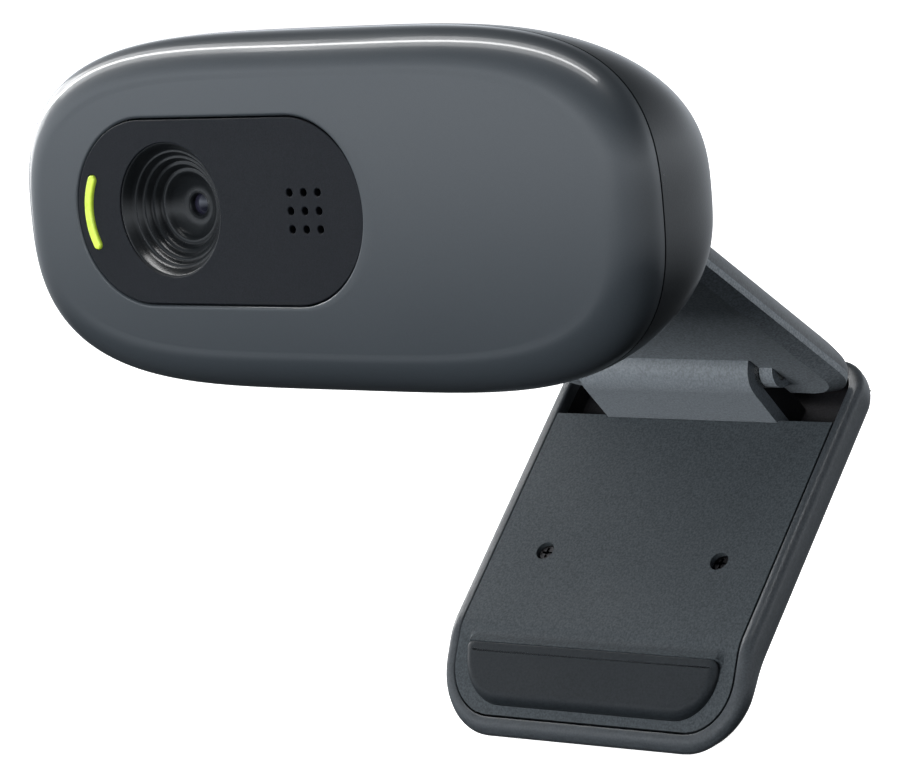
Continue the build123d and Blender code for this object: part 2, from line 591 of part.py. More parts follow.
def tilt_washers():
    """Friction washers between the drum and the lugs."""
    washer = tilt_disc(TILT_WASHER_RADIUS, DRUM_HALF_LENGTH + PIN_CLEARANCE, YOKE_INNER_X)
    return both_sides(washer - bore_x(TILT_PIN_RADIUS, TILT_IN_HEAD_Y, TILT_IN_HEAD_Z))


# ---- arm ---------------------------------------------------------------------------------------
def arm_blank():
    """Outer shape of the arm with its drooping end, rounded top and chamfered underside."""
    ear_end = FOLD_PIVOT_Y + EAR_REACH
    plan = Pos(0, (ear_end + ARM_FRONT_Y) / 2) * Rectangle(2 * ARM_HALF_WIDTH, ear_end - ARM_FRONT_Y)
    plan = fillet(plan.vertices().group_by(Axis.Y)[-1], ARM_END_CORNER)
    plan = fillet(plan.vertices().group_by(Axis.Y)[0], ARM_HEAD_CORNER)
    solid = extrude(plan, amount=ARM_THICK)
    corner_start = ARM_HALF_WIDTH - ARM_END_CORNER
    low_edges = [edge for edge in solid.edges().group_by(Axis.Z)[0] if abs(edge.center().X) > corner_start]
    solid = chamfer(low_edges, ARM_CHAMFER_RISE, ARM_HALF_WIDTH - ARM_FLAT_HALF_WIDTH)
    solid = fillet(solid.edges().group_by(Axis.Z)[-1], ARM_TOP_ROUND)
    droop_start, before = FOLD_PIVOT_Y - ARM_DROOP, ARM_FRONT_Y - 1
    droop = Bezier((droop_start, ARM_THICK), (droop_start + 4, ARM_THICK),
                   (ear_end - 0.5, ARM_THICK / 2), (ear_end, 0))
    rest = Polyline((ear_end, 0), (before, 0), (before, ARM_THICK), (droop_start, ARM_THICK))
    return solid & side_extrude(make_face(Curve() + [droop, rest]), 2 * ARM_HALF_WIDTH)


def notch():
    """Room for the hinge barrel, open at the arm's end."""
    along = (FOLD_PIVOT_Y - NOTCH_REACH, FOLD_PIVOT_Y + 2 * EAR_REACH)
    return block((-NOTCH_HALF_WIDTH, NOTCH_HALF_WIDTH), along, (-ARM_THICK, 2 * ARM_THICK))


def plate_region():
    """Where the arm's lower plate is."""
    return block((-ARM_HALF_WIDTH, ARM_HALF_WIDTH), (ARM_FRONT_Y, FOLD_PIVOT_Y + EAR_REACH), (0, ARM_SKIN))


def cover_region():
    """Where the top cover is: above the lower plate and round the solid parts of the ears."""
    along = (ARM_FRONT_Y, FOLD_PIVOT_Y + EAR_REACH)
    above = block((-ARM_HALF_WIDTH, ARM_HALF_WIDTH), along, (ARM_SKIN, ARM_THICK))
    return above - ear_blocks() - mirrored(ear_boss(PIN_CLEARANCE))


def ear_blocks():
    """Solid blocks beside the notch that carry the fold pin."""
    along = (FOLD_PIVOT_Y - EAR_BLOCK_DEPTH / 2, FOLD_PIVOT_Y + EAR_BLOCK_DEPTH / 2)
    ear = block((NOTCH_HALF_WIDTH, JOURNAL_END_X + 1.4), along, (0, EAR_BLOCK_TOP))
    return mirrored(ear)


def ear_boss(grow=0.0):
    """Round boss of one ear, about the fold pin."""
    return disc_x(EAR_BOSS_RADIUS + grow, FOLD_PIVOT_Y, PIVOT_LIFT, NOTCH_HALF_WIDTH, JOURNAL_END_X)


def arm_frame():
    """Lower plate with the hinge ears, the neck and the tilt drum."""
    blank = arm_blank() - notch()
    neck_end = ARM_FRONT_Y + NECK_ROOT
    neck = block((-NECK_HALF_WIDTH, NECK_HALF_WIDTH), (TILT_PIVOT_Y + 4, neck_end), (NECK_LIFT, NECK_THICK))
    drum = disc_x(DRUM_RADIUS, TILT_PIVOT_Y, PIVOT_LIFT, -DRUM_HALF_LENGTH, DRUM_HALF_LENGTH)
    drum = fillet(drum.edges().filter_by(GeomType.CIRCLE), 0.5)
    frame = (blank & plate_region()) + (blank & ear_blocks()) + neck + drum + mirrored(ear_boss())
    frame -= bore_x(TILT_PIN_RADIUS + PIN_CLEARANCE, TILT_PIVOT_Y, PIVOT_LIFT)
    journal_radius = FOLD_PIN_RADIUS + PIN_CLEARANCE
    journal = disc_x(journal_radius, FOLD_PIVOT_Y, PIVOT_LIFT, NOTCH_HALF_WIDTH - 1, JOURNAL_END_X)
    frame -= mirrored(journal)
    for x in (-ARM_SCREW_X, ARM_SCREW_X):
        frame -= Pos(x, ARM_SCREW_Y, 0) * Cylinder(ARM_SCREW[2] + SCREW_CLEARANCE, 2 * ARM_THICK)
        frame -= Pos(x, ARM_SCREW_Y, 0) * Cylinder(ARM_SCREW[0] + 0.1, 2 * ARM_SCREW_SEAT_Z)
    return frame


def arm_cover():
    """Rounded top cover, hollow over the lower plate."""
    cover = (arm_blank() - notch()) & cover_region()
    hollow_end = FOLD_PIVOT_Y - NOTCH_REACH - 2 * ARM_COVER_RIM
    hollow_half = ARM_HALF_WIDTH - 2 * ARM_COVER_RIM
    hollow = block((-hollow_half, hollow_half), (ARM_SCREW_Y + 5, hollow_end), (0, ARM_THICK - 1.0))
    neck_end = ARM_FRONT_Y + NECK_ROOT
    neck_room = block((-NECK_HALF_WIDTH, NECK_HALF_WIDTH), (ARM_FRONT_Y - 1, neck_end), (0, NECK_THICK))
    cover = cover - hollow - neck_room
    for x in (-ARM_SCREW_X, ARM_SCREW_X):
        cover -= Pos(x, ARM_SCREW_Y, ARM_SKIN) * Cylinder(ARM_SCREW[2], ARM_THICK - 0.7)
    return cover


def arm_screws():
    """Two screws from below, near the head."""
    return both_sides(Pos(ARM_SCREW_X, ARM_SCREW_Y, ARM_SCREW_SEAT_Z) * screw(*ARM_SCREW))


# ---- leg ---------------------------------------------------------------------------------------
def leg_plan(half_width, top, bottom, top_radius, bottom_radius):
    """Outline of the leg or its panel, in X and Y."""
    shape = Pos(0, (top + bottom) / 2) * Rectangle(2 * half_width, top - bottom)
    if top_radius:
        shape = fillet(shape.vertices().group_by(Axis.Y)[-1], top_radius)
    return fillet(shape.vertices().group_by(Axis.Y)[0], bottom_radius)


def toe_share(y):
    """0 above the toe's bend, rising evenly to 1 at the leg's end."""
    return max(0.0, (TOE_BEND_Y - y) / (TOE_BEND_Y - LEG_BOTTOM))


def front_z(y):
    """Height of the leg's front surface: flat, then falling away towards the toe."""
    return LEG_FRONT_Z - TOE_FRONT_FALL * toe_share(y)


def back_z(y):
    """Height of the leg's back surface."""
    return LEG_BACK_Z - TOE_BACK_FALL * toe_share(y)


def front_layer(above, below):
    """Slab that follows the leg's front surface, from above it to below it."""
    end_y = LEG_BOTTOM - 1
    corners = (LEG_TOP, TOE_BEND_Y, end_y)
    points = [(y, front_z(y) + above) for y in corners]
    points += [(y, front_z(y) - below) for y in reversed(corners)]
    return side_extrude(make_face(Polyline(*points, close=True)), LEG_HALF_WIDTH)


def above_back(lift):
    """Everything further forward than the leg's back surface, moved in by a lift."""
    end_y, high = LEG_BOTTOM - 1, LEG_FRONT_Z + 2
    points = [(LEG_TOP, high), (end_y, high), (end_y, back_z(end_y) + lift),
              (TOE_BEND_Y, LEG_BACK_Z + lift), (LEG_TOP, LEG_BACK_Z + lift)]
    return side_extrude(make_face(Polyline(*points, close=True)), LEG_HALF_WIDTH)


def leg_prism(half_width, top, bottom, top_radius, bottom_radius):
    """The leg's or panel's outline pushed through the whole thickness."""
    plan = leg_plan(half_width, top, bottom, top_radius, bottom_radius)
    return Pos(0, 0, LEG_BACK_Z - 3) * extrude(plan, amount=LEG_THICK + 5)


def round_topped_section():
    """The leg's side view with its rounded top end, pushed across its width."""
    middle = LEG_TOP - LEG_TOP_ROUND
    length = middle - LEG_BOTTOM + 2
    section = Pos(middle, LEG_FRONT_Z - 0.9) * Circle(LEG_TOP_ROUND)
    section += Pos(middle - length / 2, LEG_BACK_Z + LEG_THICK / 2) * Rectangle(length, 2 * LEG_THICK)
    return side_extrude(section, LEG_HALF_WIDTH)


def leg_shell():
    """Outer tray of the leg with a rounded back, closed at the top behind the hinge."""
    outer = leg_prism(LEG_HALF_WIDTH, LEG_TOP, LEG_BOTTOM, LEG_TOP_CORNER, LEG_TOE_CORNER)
    outer &= front_layer(0, 2 * LEG_THICK) & above_back(0)
    side_edges = [edge for edge in outer.edges() if edge.center().Z < LEG_BACK_Z + 0.1
                  and abs(edge.center().X) > LEG_HALF_WIDTH - 0.1 and edge.center().Y > TOE_BEND_Y]
    outer = fillet(side_edges, LEG_FLANK_ROUND)
    outer &= round_topped_section()
    top, bottom = LEG_TOP - LEG_WALL, PANEL_BOTTOM_Y
    recess = leg_prism(PANEL_HALF_WIDTH + PANEL_GAP, top, bottom - PANEL_GAP, 2.9, PANEL_CORNER + PANEL_GAP)
    recess &= front_layer(1, PANEL_THICK)
    hollow = leg_prism(PANEL_HALF_WIDTH - LEDGE, top, bottom + LEDGE, 2.9, 4.0) & above_back(LEG_WALL)
    pocket = leg_prism(POCKET_HALF_WIDTH, LEG_TOP - TOP_WALL, PANEL_TOP_Y, 3.0, 0.5) & above_back(LEG_WALL)
    shell = outer - recess - hollow - pocket
    post = Pos(LEG_SCREW_X, LEG_SCREW_Y, LEG_BACK_Z + 1.0) * Cylinder(LEG_POST_RADIUS, LEG_THICK + 1)
    post &= front_layer(-PANEL_THICK, 2 * LEG_THICK) & above_back(LEG_WALL / 2)
    pilot = Cylinder(LEG_SCREW[2] + PIN_CLEARANCE, 2 * (LEG_THICK - LEG_WALL))
    post -= Pos(LEG_SCREW_X, LEG_SCREW_Y, LEG_FRONT_Z) * pilot
    return shell + mirrored(post)


def panel_notch(grow):
    """Where the tongue stands in the panel's top edge."""
    half = BARREL_HALF_LENGTH + grow
    return block((-half, half), (-BARREL_RADIUS - grow, 0), (LEG_FRONT_Z - 2, LEG_FRONT_Z + 1))


def leg_panel():
    """Inner cover of the leg: flat, then bent back at the toe, with a ramp up to the pad."""
    panel = leg_prism(PANEL_HALF_WIDTH, PANEL_TOP_Y, PANEL_BOTTOM_Y, 0, PANEL_CORNER)
    panel &= front_layer(0, PANEL_THICK)
    ramp = [(TOE_BEND_Y, LEG_FRONT_Z - 0.3), (PAD_TOP_Y, LEG_FRONT_Z),
            (PAD_TOP_Y, front_z(PAD_TOP_Y) - 0.3), (TOE_BEND_Y, LEG_FRONT_Z - 0.9)]
    panel += side_extrude(make_face(Polyline(*ramp, close=True)), PAD_HALF_WIDTH)
    for x in (-LEG_SCREW_X, LEG_SCREW_X):
        panel -= Pos(x, LEG_SCREW_Y, LEG_SCREW_SEAT_Z + 1) * Cylinder(LEG_SCREW[0] + 0.05, 2.0)
        panel -= Pos(x, LEG_SCREW_Y, LEG_FRONT_Z) * Cylinder(LEG_SCREW[2] + 0.1, 4 * PANEL_THICK)
    return panel - panel_notch(0.1)


def toe_pad():
    """Rubber pad on the toe, standing proud of the panel."""
    pad = leg_prism(PAD_HALF_WIDTH, PAD_TOP_Y, PAD_BOTTOM_Y, 0.7, 4.2)
    face = [(PAD_TOP_Y, LEG_FRONT_Z), (PAD_BOTTOM_Y, LEG_FRONT_Z - PAD_FALL),
            (PAD_BOTTOM_Y, front_z(PAD_BOTTOM_Y)), (PAD_TOP_Y, front_z(PAD_TOP_Y))]
    return pad & side_extrude(make_face(Polyline(*face, close=True)), LEG_HALF_WIDTH)


def hinge_profile(radius, front, back, bottom):
    """Round barrel about the hinge with a stem down into the leg, in Y and Z."""
    stem = Pos((front + back) / 2, bottom / 2) * Rectangle(back - front, -bottom)
    return Circle(radius) + stem


def hinge_tongue():
    """Textured cover of the fold hinge's barrel."""
    outer = hinge_profile(BARREL_RADIUS, -BARREL_RADIUS, -CORE_RADIUS, LEG_FRONT_Z - TONGUE_FOOT)
    opening = Pos(CORE_RADIUS / 4, -BARREL_RADIUS) * Rectangle(2.5 * CORE_RADIUS, 2 * BARREL_RADIUS)
    return side_extrude(outer - Circle(CORE_RADIUS) - opening, BARREL_HALF_LENGTH)


def hinge_core():
    """Stiff core of the hinge barrel, bored for the pin and fixed in the leg."""
    shape = hinge_profile(CORE_RADIUS, -CORE_RADIUS, CORE_RADIUS * 0.6, LEG_BACK_Z + LEG_WALL)
    shape -= Circle(FOLD_PIN_RADIUS)
    return side_extrude(shape, BARREL_HALF_LENGTH)


def fold_pin():
    """Steel pin, tight in the core and turning in the arm's ears."""
    return disc_x(FOLD_PIN_RADIUS, 0, 0, -FOLD_PIN_HALF_LENGTH, FOLD_PIN_HALF_LENGTH)


def fold_washers():
    """Thin steel washers on the pin, between the barrel and the ears."""
    washer = disc_x(FOLD_WASHER_RADIUS, 0, 0, BARREL_HALF_LENGTH, NOTCH_HALF_WIDTH - 0.1)
    return both_sides(washer - bore_x(FOLD_PIN_RADIUS, 0, 0))


def leg_screws():
    """Two small screws down the holes in the panel."""
    return both_sides(Pos(LEG_SCREW_X, LEG_SCREW_Y, LEG_SCREW_SEAT_Z) * Rot(180, 0, 0) * screw(*LEG_SCREW))


# ---- nodes -------------------------------------------------------------------------------------
HEAD_NODES = {
    "front_shell": front_shell(),
    "rear_shell": rear_shell(),
    "face_insert": face_insert(),
    "lens_hood": lens_hood(),
    **lens_parts(),
    "led_light_pipe": light_pipe(),
    "main_board": main_board(),
    **board_parts(),
    "shell_screws": screws_along_y(SHELL_SCREW_X, SHELL_SCREW_Z, SHELL_SCREW_SEAT_Y, SHELL_SCREW, True),
    "cable_grommet": cable_grommet(),
    "tilt_yoke": tilt_yoke(),
    "yoke_screws": screws_along_y(YOKE_SCREW_X, TILT_IN_HEAD_Z, YOKE_FOOT_Y, YOKE_SCREW, False),
    "tilt_pin": tilt_pin(),
    "tilt_pin_clip": tilt_clip(),
    "tilt_washers": tilt_washers(),
}
ARM_NODES = {
    "arm_frame": arm_frame(),
    "arm_cover": arm_cover(),
    "arm_screws": arm_screws(),
}
LEG_NODES = {
    "leg_shell": leg_shell(),
    "leg_panel": leg_panel(),
    "toe_pad": toe_pad(),
    "hinge_tongue": hinge_tongue(),
    "hinge_core": hinge_core(),
    "fold_pin": fold_pin(),
    "fold_washers": fold_washers(),
    "leg_screws": leg_screws(),
}
for nodes, place in ((HEAD_NODES, HEAD_PLACE), (ARM_NODES, ARM_PLACE), (LEG_NODES, LEG_PLACE)):
    for node_name, node_shape in nodes.items():
        save(node_name, node_shape, place)
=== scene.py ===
"""Detailed picture of the clip-on webcam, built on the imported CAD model.

Shapes are worked out in millimetres in the local frames of the head and the leg, which match the CAD's
bodies, and put into Blender in metres. The arm's pieces keep their CAD shape.
"""
import json
import math

import bmesh
import bpy
from mathutils import Matrix, Vector


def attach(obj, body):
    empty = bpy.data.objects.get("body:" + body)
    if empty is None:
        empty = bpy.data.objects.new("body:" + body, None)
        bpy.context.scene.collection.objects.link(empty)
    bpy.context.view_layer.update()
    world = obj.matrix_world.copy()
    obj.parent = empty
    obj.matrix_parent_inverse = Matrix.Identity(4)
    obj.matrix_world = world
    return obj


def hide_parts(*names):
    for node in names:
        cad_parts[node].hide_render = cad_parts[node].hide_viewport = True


MM = 0.001
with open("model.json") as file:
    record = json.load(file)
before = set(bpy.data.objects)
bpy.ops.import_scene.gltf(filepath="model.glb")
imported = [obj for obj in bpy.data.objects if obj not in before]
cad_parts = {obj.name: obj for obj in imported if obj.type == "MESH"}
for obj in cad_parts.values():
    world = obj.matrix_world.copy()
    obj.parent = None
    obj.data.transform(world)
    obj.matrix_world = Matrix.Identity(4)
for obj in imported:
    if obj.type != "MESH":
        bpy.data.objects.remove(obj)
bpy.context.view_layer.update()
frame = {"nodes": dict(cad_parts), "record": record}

# ---- where the bodies' frames are ----------------------------------------------------------------
ARM_SLOPE = math.radians(33.2)
LEG_SLOPE = math.radians(45.0)
PIVOT_LIFT = 0.56
FOLD_PIVOT_Y = 20.0
TILT_PIVOT_Y = -26.4
TILT_IN_HEAD = (15.0, 3.3)


def turned(y, z, angle):
    """A point of the middle plane turned about the X axis."""
    return y * math.cos(angle) - z * math.sin(angle), y * math.sin(angle) + z * math.cos(angle)


FOLD_PIVOT = turned(FOLD_PIVOT_Y, PIVOT_LIFT, -ARM_SLOPE)
TILT_PIVOT = turned(TILT_PIVOT_Y, PIVOT_LIFT, -ARM_SLOPE)
HEAD_ORIGIN = (TILT_PIVOT[0] - TILT_IN_HEAD[0], TILT_PIVOT[1] - TILT_IN_HEAD[1])


def head_place(x, y, z):
    """Head frame to the part's frame, in metres."""
    return Vector((x, y + HEAD_ORIGIN[0], z + HEAD_ORIGIN[1])) * MM


def leg_place(x, y, z):
    """Leg frame to the part's frame, in metres."""
    turned_y, turned_z = turned(y, z, LEG_SLOPE)
    return Vector((x, turned_y + FOLD_PIVOT[0], turned_z + FOLD_PIVOT[1])) * MM


# ---- making meshes -------------------------------------------------------------------------------
def add_object(name, mesh, body, material, stands_for=()):
    """Puts a mesh into the scene as a piece of the object."""
    obj = bpy.data.objects.new(name, mesh)
    bpy.context.scene.collection.objects.link(obj)
    mesh.materials.append(material)
    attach(obj, body)
    if stands_for:
        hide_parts(*stands_for)
    return obj


def mesh_from(name, points, faces, place, sharp=35.0):
    """Mesh with smooth shading broken at edges sharper than the given angle."""
    mesh = bpy.data.meshes.new(name)
    mesh.from_pydata([place(*point) for point in points], [], faces)
    work = bmesh.new()
    work.from_mesh(mesh)
    bmesh.ops.remove_doubles(work, verts=work.verts, dist=1e-7)
    bmesh.ops.recalc_face_normals(work, faces=work.faces)
    work.to_mesh(mesh)
    work.free()
    finish_shading(mesh, sharp)
    return mesh


def finish_shading(mesh, sharp=35.0):
    """Smooth faces, with edges over the angle kept sharp."""
    for face in mesh.polygons:
        face.use_smooth = True
    mesh.set_sharp_from_angle(angle=math.radians(sharp))


def skin(rings, closed=True, cap_start=False, cap_end=False):
    """Points and faces of a surface through rings of equally many points."""
    count = len(rings[0])
    points = [point for ring in rings for point in ring]
    faces = []
    last = count if closed else count - 1
    for ring in range(len(rings) - 1):
        for index in range(last):
            after = (index + 1) % count
            low, high = ring * count, (ring + 1) * count
            faces.append((low + index, low + after, high + after, high + index))
    if cap_start:
        faces.append(tuple(range(count)))
    if cap_end:
        start = (len(rings) - 1) * count
        faces.append(tuple(range(start, start + count)))
    return points, faces


def lathe(profile, centre, steps=128):
    """Surface turned about an axis along Y through centre (x, z), from (radius, y) pairs."""
    rings = []
    for radius, y in profile:
        ring = []
        for index in range(steps):
            angle = 2 * math.pi * index / steps
            ring.append((centre[0] + radius * math.cos(angle), y, centre[1] + radius * math.sin(angle)))
        rings.append(ring)
    return skin(rings)


def cut(obj, cutter):
    """Takes a closed mesh object away from another, and removes it."""
    modifier = obj.modifiers.new("cut", "BOOLEAN")
    modifier.operation = "DIFFERENCE"
    modifier.solver = "EXACT"
    modifier.object = cutter
    apply_modifiers(obj)
    bpy.data.objects.remove(cutter)


def apply_modifiers(obj):
    """Bakes an object's modifiers into its mesh."""
    bpy.context.view_layer.update()
    graph = bpy.context.evaluated_depsgraph_get()
    mesh = bpy.data.meshes.new_from_object(obj.evaluated_get(graph))
    obj.modifiers.clear()
    obj.data = mesh


def loose(name, points, faces, place):
    """A helper object that isn't a piece, used for cutting."""
    obj = bpy.data.objects.new(name, mesh_from(name, points, faces, place))
    bpy.context.scene.collection.objects.link(obj)
    return obj


def bevelled(obj, width, segments=3, angle=30.0):
    """Rounds an object's sharp edges."""
    modifier = obj.modifiers.new("edges", "BEVEL")
    modifier.width = width * MM
    modifier.segments = segments
    modifier.limit_method = "ANGLE"
    modifier.angle_limit = math.radians(angle)
    modifier.harden_normals = True
    return obj


# ---- head shapes ---------------------------------------------------------------------------------
HALF_WIDTH, HALF_HEIGHT = 36.45, 16.3
OUTLINE_POWERS = (3.95, 2.83)
FACE_BULGE_X, FACE_BULGE_Z = 0.00055, 0.00518
ROLL_INSET, ROLL_SHARE = 3.84, 0.88
PARTING_Y, PARTING_SWEEP_X, PARTING_SWEEP_Z = 5.70, 1.39 / 36**2, 0.18 / 16**2
REAR_POWERS = (3.14, 1.73)
REAR_TIP_Y, REAR_RISE = 21.68, 0.54
REAR_WALL = 1.5
GROOVE = 0.10
DRUM_ROOM, SLOT_HALF = 6.15, 8.35
SLOT_LOW, SLOT_HIGH = -48.2, 41.8
SLOT_REACH = 16.0               # the slot's fan is cut this far from the tilt axis
CABLE_HOLE, CABLE_HOLE_RADIUS = (-21.0, 5.5), 3.0
CABLE_HOLE_START = 12.0
SHELL_SCREW, SHELL_SCREW_SEAT = (29.5, -7.0), 14.0
SHELL_SCREW_HOLE_RADIUS = 2.1
PAST_REAR_Y = 24.0              # behind the whole head, where its cutters end
FRONT_WALL = 1.4
FRONT_LIP_INSET, REAR_LIP_INSET = 0.12, 0.16
HOLE_LIP = 0.28                 # radius of the pill opening's rounded edge
HOLE_WALL_DEPTHS = (2.6, 1.2)
SHELL_EDGE = 0.18
AROUND = 288
PILL_CENTRE = (-10.68, 0.42)
PILL_STRAIGHT, PILL_RADIUS = 8.88, 8.57
LENS = (-16.5, 0.6)


def signed_power(value, power):
    """Keeps the sign while raising the size to a power."""
    return math.copysign(abs(value) ** power, value)


def oval(half_width, half_height, rise=0.0, count=AROUND):
    """Points of the head's superellipse outline, as (x, z)."""
    points = []
    for index in range(count):
        turn = 2 * math.pi * (index + 0.5) / count
        x = half_width * signed_power(math.cos(turn), 2 / OUTLINE_POWERS[0])
        z = half_height * signed_power(math.sin(turn), 2 / OUTLINE_POWERS[1])
        points.append((x, z + rise))
    return points


def dome(x, z):
    """Depth of the domed face."""
    return FACE_BULGE_X * x * x + FACE_BULGE_Z * z * z


def parting(x, z):
    """Depth of the line where the two shells meet."""
    return PARTING_Y - PARTING_SWEEP_X * x * x - PARTING_SWEEP_Z * z * z


def pill(radius, count=AROUND):
    """Points of the insert's stadium, matched in turn with the oval's points."""
    points = []
    for index in range(count):
        turn = 2 * math.pi * (index + 0.5) / count
        along, up = math.cos(turn), math.sin(turn)
        reach = PILL_STRAIGHT + radius
        x = reach * signed_power(along, 2 / OUTLINE_POWERS[0])
        side = abs(x) - PILL_STRAIGHT
        z = radius if side <= 0 else math.sqrt(max(radius**2 - side**2, 0.0))
        points.append((PILL_CENTRE[0] + x, PILL_CENTRE[1] + math.copysign(z, up)))
    return even_loop(points)


def even_loop(points, wanted=0):
    """Keeps a loop's first point and spreads the rest evenly along it."""
    count = len(points)
    wanted = wanted or count
    lengths = [0.0]
    for index in range(count):
        a, b = points[index], points[(index + 1) % count]
        lengths.append(lengths[-1] + math.dist(a, b))
    spread, place = [], 0
    for index in range(wanted):
        target = lengths[-1] * index / wanted
        while lengths[place + 1] < target:
            place += 1
        part = (target - lengths[place]) / max(lengths[place + 1] - lengths[place], 1e-9)
        a, b = points[place], points[(place + 1) % count]
        spread.append((a[0] + (b[0] - a[0]) * part, a[1] + (b[1] - a[1]) * part))
    return spread


def front_shell_mesh():
    """Domed face with the pill opening, rolled edge, side band and the lip at the parting line."""
    hole = pill(PILL_RADIUS)
    rim = even_loop(oval(HALF_WIDTH - ROLL_INSET, HALF_HEIGHT - ROLL_INSET))
    rings = []
    for depth in (*HOLE_WALL_DEPTHS, HOLE_LIP):
        rings.append([(x, dome(x, z) + depth, z) for x, z in hole])
    lip_turns = 4
    for step in range(1, lip_turns + 1):
        turn = math.pi / 2 * step / lip_turns
        grown = pill(PILL_RADIUS + HOLE_LIP * (1 - math.cos(turn)))
        rings.append([(x, dome(x, z) + HOLE_LIP * (1 - math.sin(turn)), z) for x, z in grown])
    start = pill(PILL_RADIUS + HOLE_LIP)
    bands = 26
    for step in range(1, bands):
        part = step / bands
        ring = []
        for (ax, az), (bx, bz) in zip(start, rim):
            x, z = ax + (bx - ax) * part, az + (bz - az) * part
            ring.append((x, dome(x, z), z))
        rings.append(ring)
    turns = 20
    for step in range(turns + 1):
        turn = math.pi / 2 * step / turns
        inset = ROLL_INSET * (1 - math.sin(turn))
        loop = even_loop(oval(HALF_WIDTH - inset, HALF_HEIGHT - inset))
        ring = []
        for (x, z), (ex, ez) in zip(loop, rim):
            edge_y = dome(ex, ez)
            part = 1 - math.cos(turn)
            ring.append((x, edge_y + (parting(x, z) - GROOVE - edge_y) * part * ROLL_SHARE, z))
        rings.append(ring)
    outer = even_loop(oval(HALF_WIDTH, HALF_HEIGHT))
    rings.append([(x, parting(x, z) - GROOVE, z) for x, z in outer])
    for inset in (FRONT_LIP_INSET, FRONT_WALL):
        inner = even_loop(oval(HALF_WIDTH - inset, HALF_HEIGHT - inset))
        rings.append([(x, parting(x, z) - GROOVE / 2, z) for x, z in inner])
    return skin(rings)


def rear_ring(inset, part):
    """One ring of the rear dome, moved in by a wall, at a share of the way to the tip."""
    wide = (1 - part ** REAR_POWERS[0]) ** (1 / REAR_POWERS[0])
    tall = (1 - part ** REAR_POWERS[1]) ** (1 / REAR_POWERS[1])
    ring = []
    for x, z in even_loop(oval(HALF_WIDTH - inset, HALF_HEIGHT - inset)):
        start = parting(x, z) + GROOVE
        ring.append((x * wide, start + (REAR_TIP_Y - inset - start) * part, z * tall + REAR_RISE * part))
    return ring


def rear_shell_mesh():
    """Rounded cup of the rear shell: inner dome, lip at the parting line, outer dome."""
    bands, tip_share = 64, 0.9995
    shares = [min(math.sin(math.pi / 2 * step / bands), tip_share) for step in range(bands + 1)]
    rings = [rear_ring(REAR_WALL, part) for part in reversed(shares[::4])]
    lip = even_loop(oval(HALF_WIDTH - REAR_LIP_INSET, HALF_HEIGHT - REAR_LIP_INSET))
    rings.append([(x, parting(x, z) + GROOVE / 2, z) for x, z in lip])
    rings += [rear_ring(0.0, part) for part in shares]
    return skin(rings, cap_start=True, cap_end=True)


def prism_along_x(outline, half):
    """Closed prism along X in the head frame from its (y, z) outline, for cutting."""
    rings = [[(x, y, z) for y, z in outline] for x in (-half, half)]
    points, faces = skin(rings, cap_start=True, cap_end=True)
    return loose("prism", points, faces, head_place)


def peg_along_y(centre, radius, low, high):
    """Closed peg along Y in the head frame, for cutting."""
    rings = [[(x, y, z) for x, z in circle(centre, radius, 48)] for y in (low, high)]
    points, faces = skin(rings, cap_start=True, cap_end=True)
    return loose("peg", points, faces, head_place)


def rear_shell_object():
    """Rear shell with the drum's slot, the cable hole and two deep screw holes."""
    points, faces = rear_shell_mesh()
    mesh = mesh_from("rear_shell_skin", points, faces, head_place, 40)
    obj = add_object("rear_shell_skin", mesh, "head", MATERIALS["dark_shell"], ["rear_shell"])
    fan, steps = [TILT_IN_HEAD], 16
    for step in range(steps + 1):
        turn = math.radians(SLOT_LOW + (SLOT_HIGH - SLOT_LOW) * step / steps)
        along, up = SLOT_REACH * math.cos(turn), SLOT_REACH * math.sin(turn)
        fan.append((TILT_IN_HEAD[0] + along, TILT_IN_HEAD[1] + up))
    cut(obj, prism_along_x(circle(TILT_IN_HEAD, DRUM_ROOM, 96), SLOT_HALF))
    cut(obj, prism_along_x(fan, SLOT_HALF))
    cut(obj, peg_along_y(CABLE_HOLE, CABLE_HOLE_RADIUS, CABLE_HOLE_START, PAST_REAR_Y))
    for side in (-1, 1):
        centre = (side * SHELL_SCREW[0], SHELL_SCREW[1])
        cut(obj, peg_along_y(centre, SHELL_SCREW_HOLE_RADIUS, SHELL_SCREW_SEAT, PAST_REAR_Y))
    finish_shading(obj.data, 40)
    bevelled(obj, SHELL_EDGE, 3, 50)


# ---- face insert, lens and light -----------------------------------------------------------------
INSERT_FRONT_Y = 0.45
MIC_CENTRE, MIC_PITCH = (-0.15, 0.46), 1.656
MIC_HOLE_RADIUS = 0.36
INSERT_THICK, INSERT_EDGE, INSERT_GAP = 1.6, 0.11, 0.12
LENS_HOLE_RADIUS = 6.17
LIGHT_ARC_CENTRE, LIGHT_ARC_RADIUS, LIGHT_ARC_HALF_ANGLE = (-20.05, 0.42), 6.6, 27.0
LIGHT_WIDTH, LIGHT_SLOT_WIDTH = 0.92, 1.02
LIGHT_PROUD, LIGHT_EDGE = 0.22, 0.2
LENS_RADIUS, LENS_RISE, LENS_EDGE_Y, LENS_HIDDEN_Y = 1.0, 0.30, 4.95, 5.15


def circle(centre, radius, count=40):
    """Loop of points on a circle, as (x, z)."""
    turns = [2 * math.pi * index / count for index in range(count)]
    return [(centre[0] + radius * math.cos(turn), centre[1] + radius * math.sin(turn)) for turn in turns]


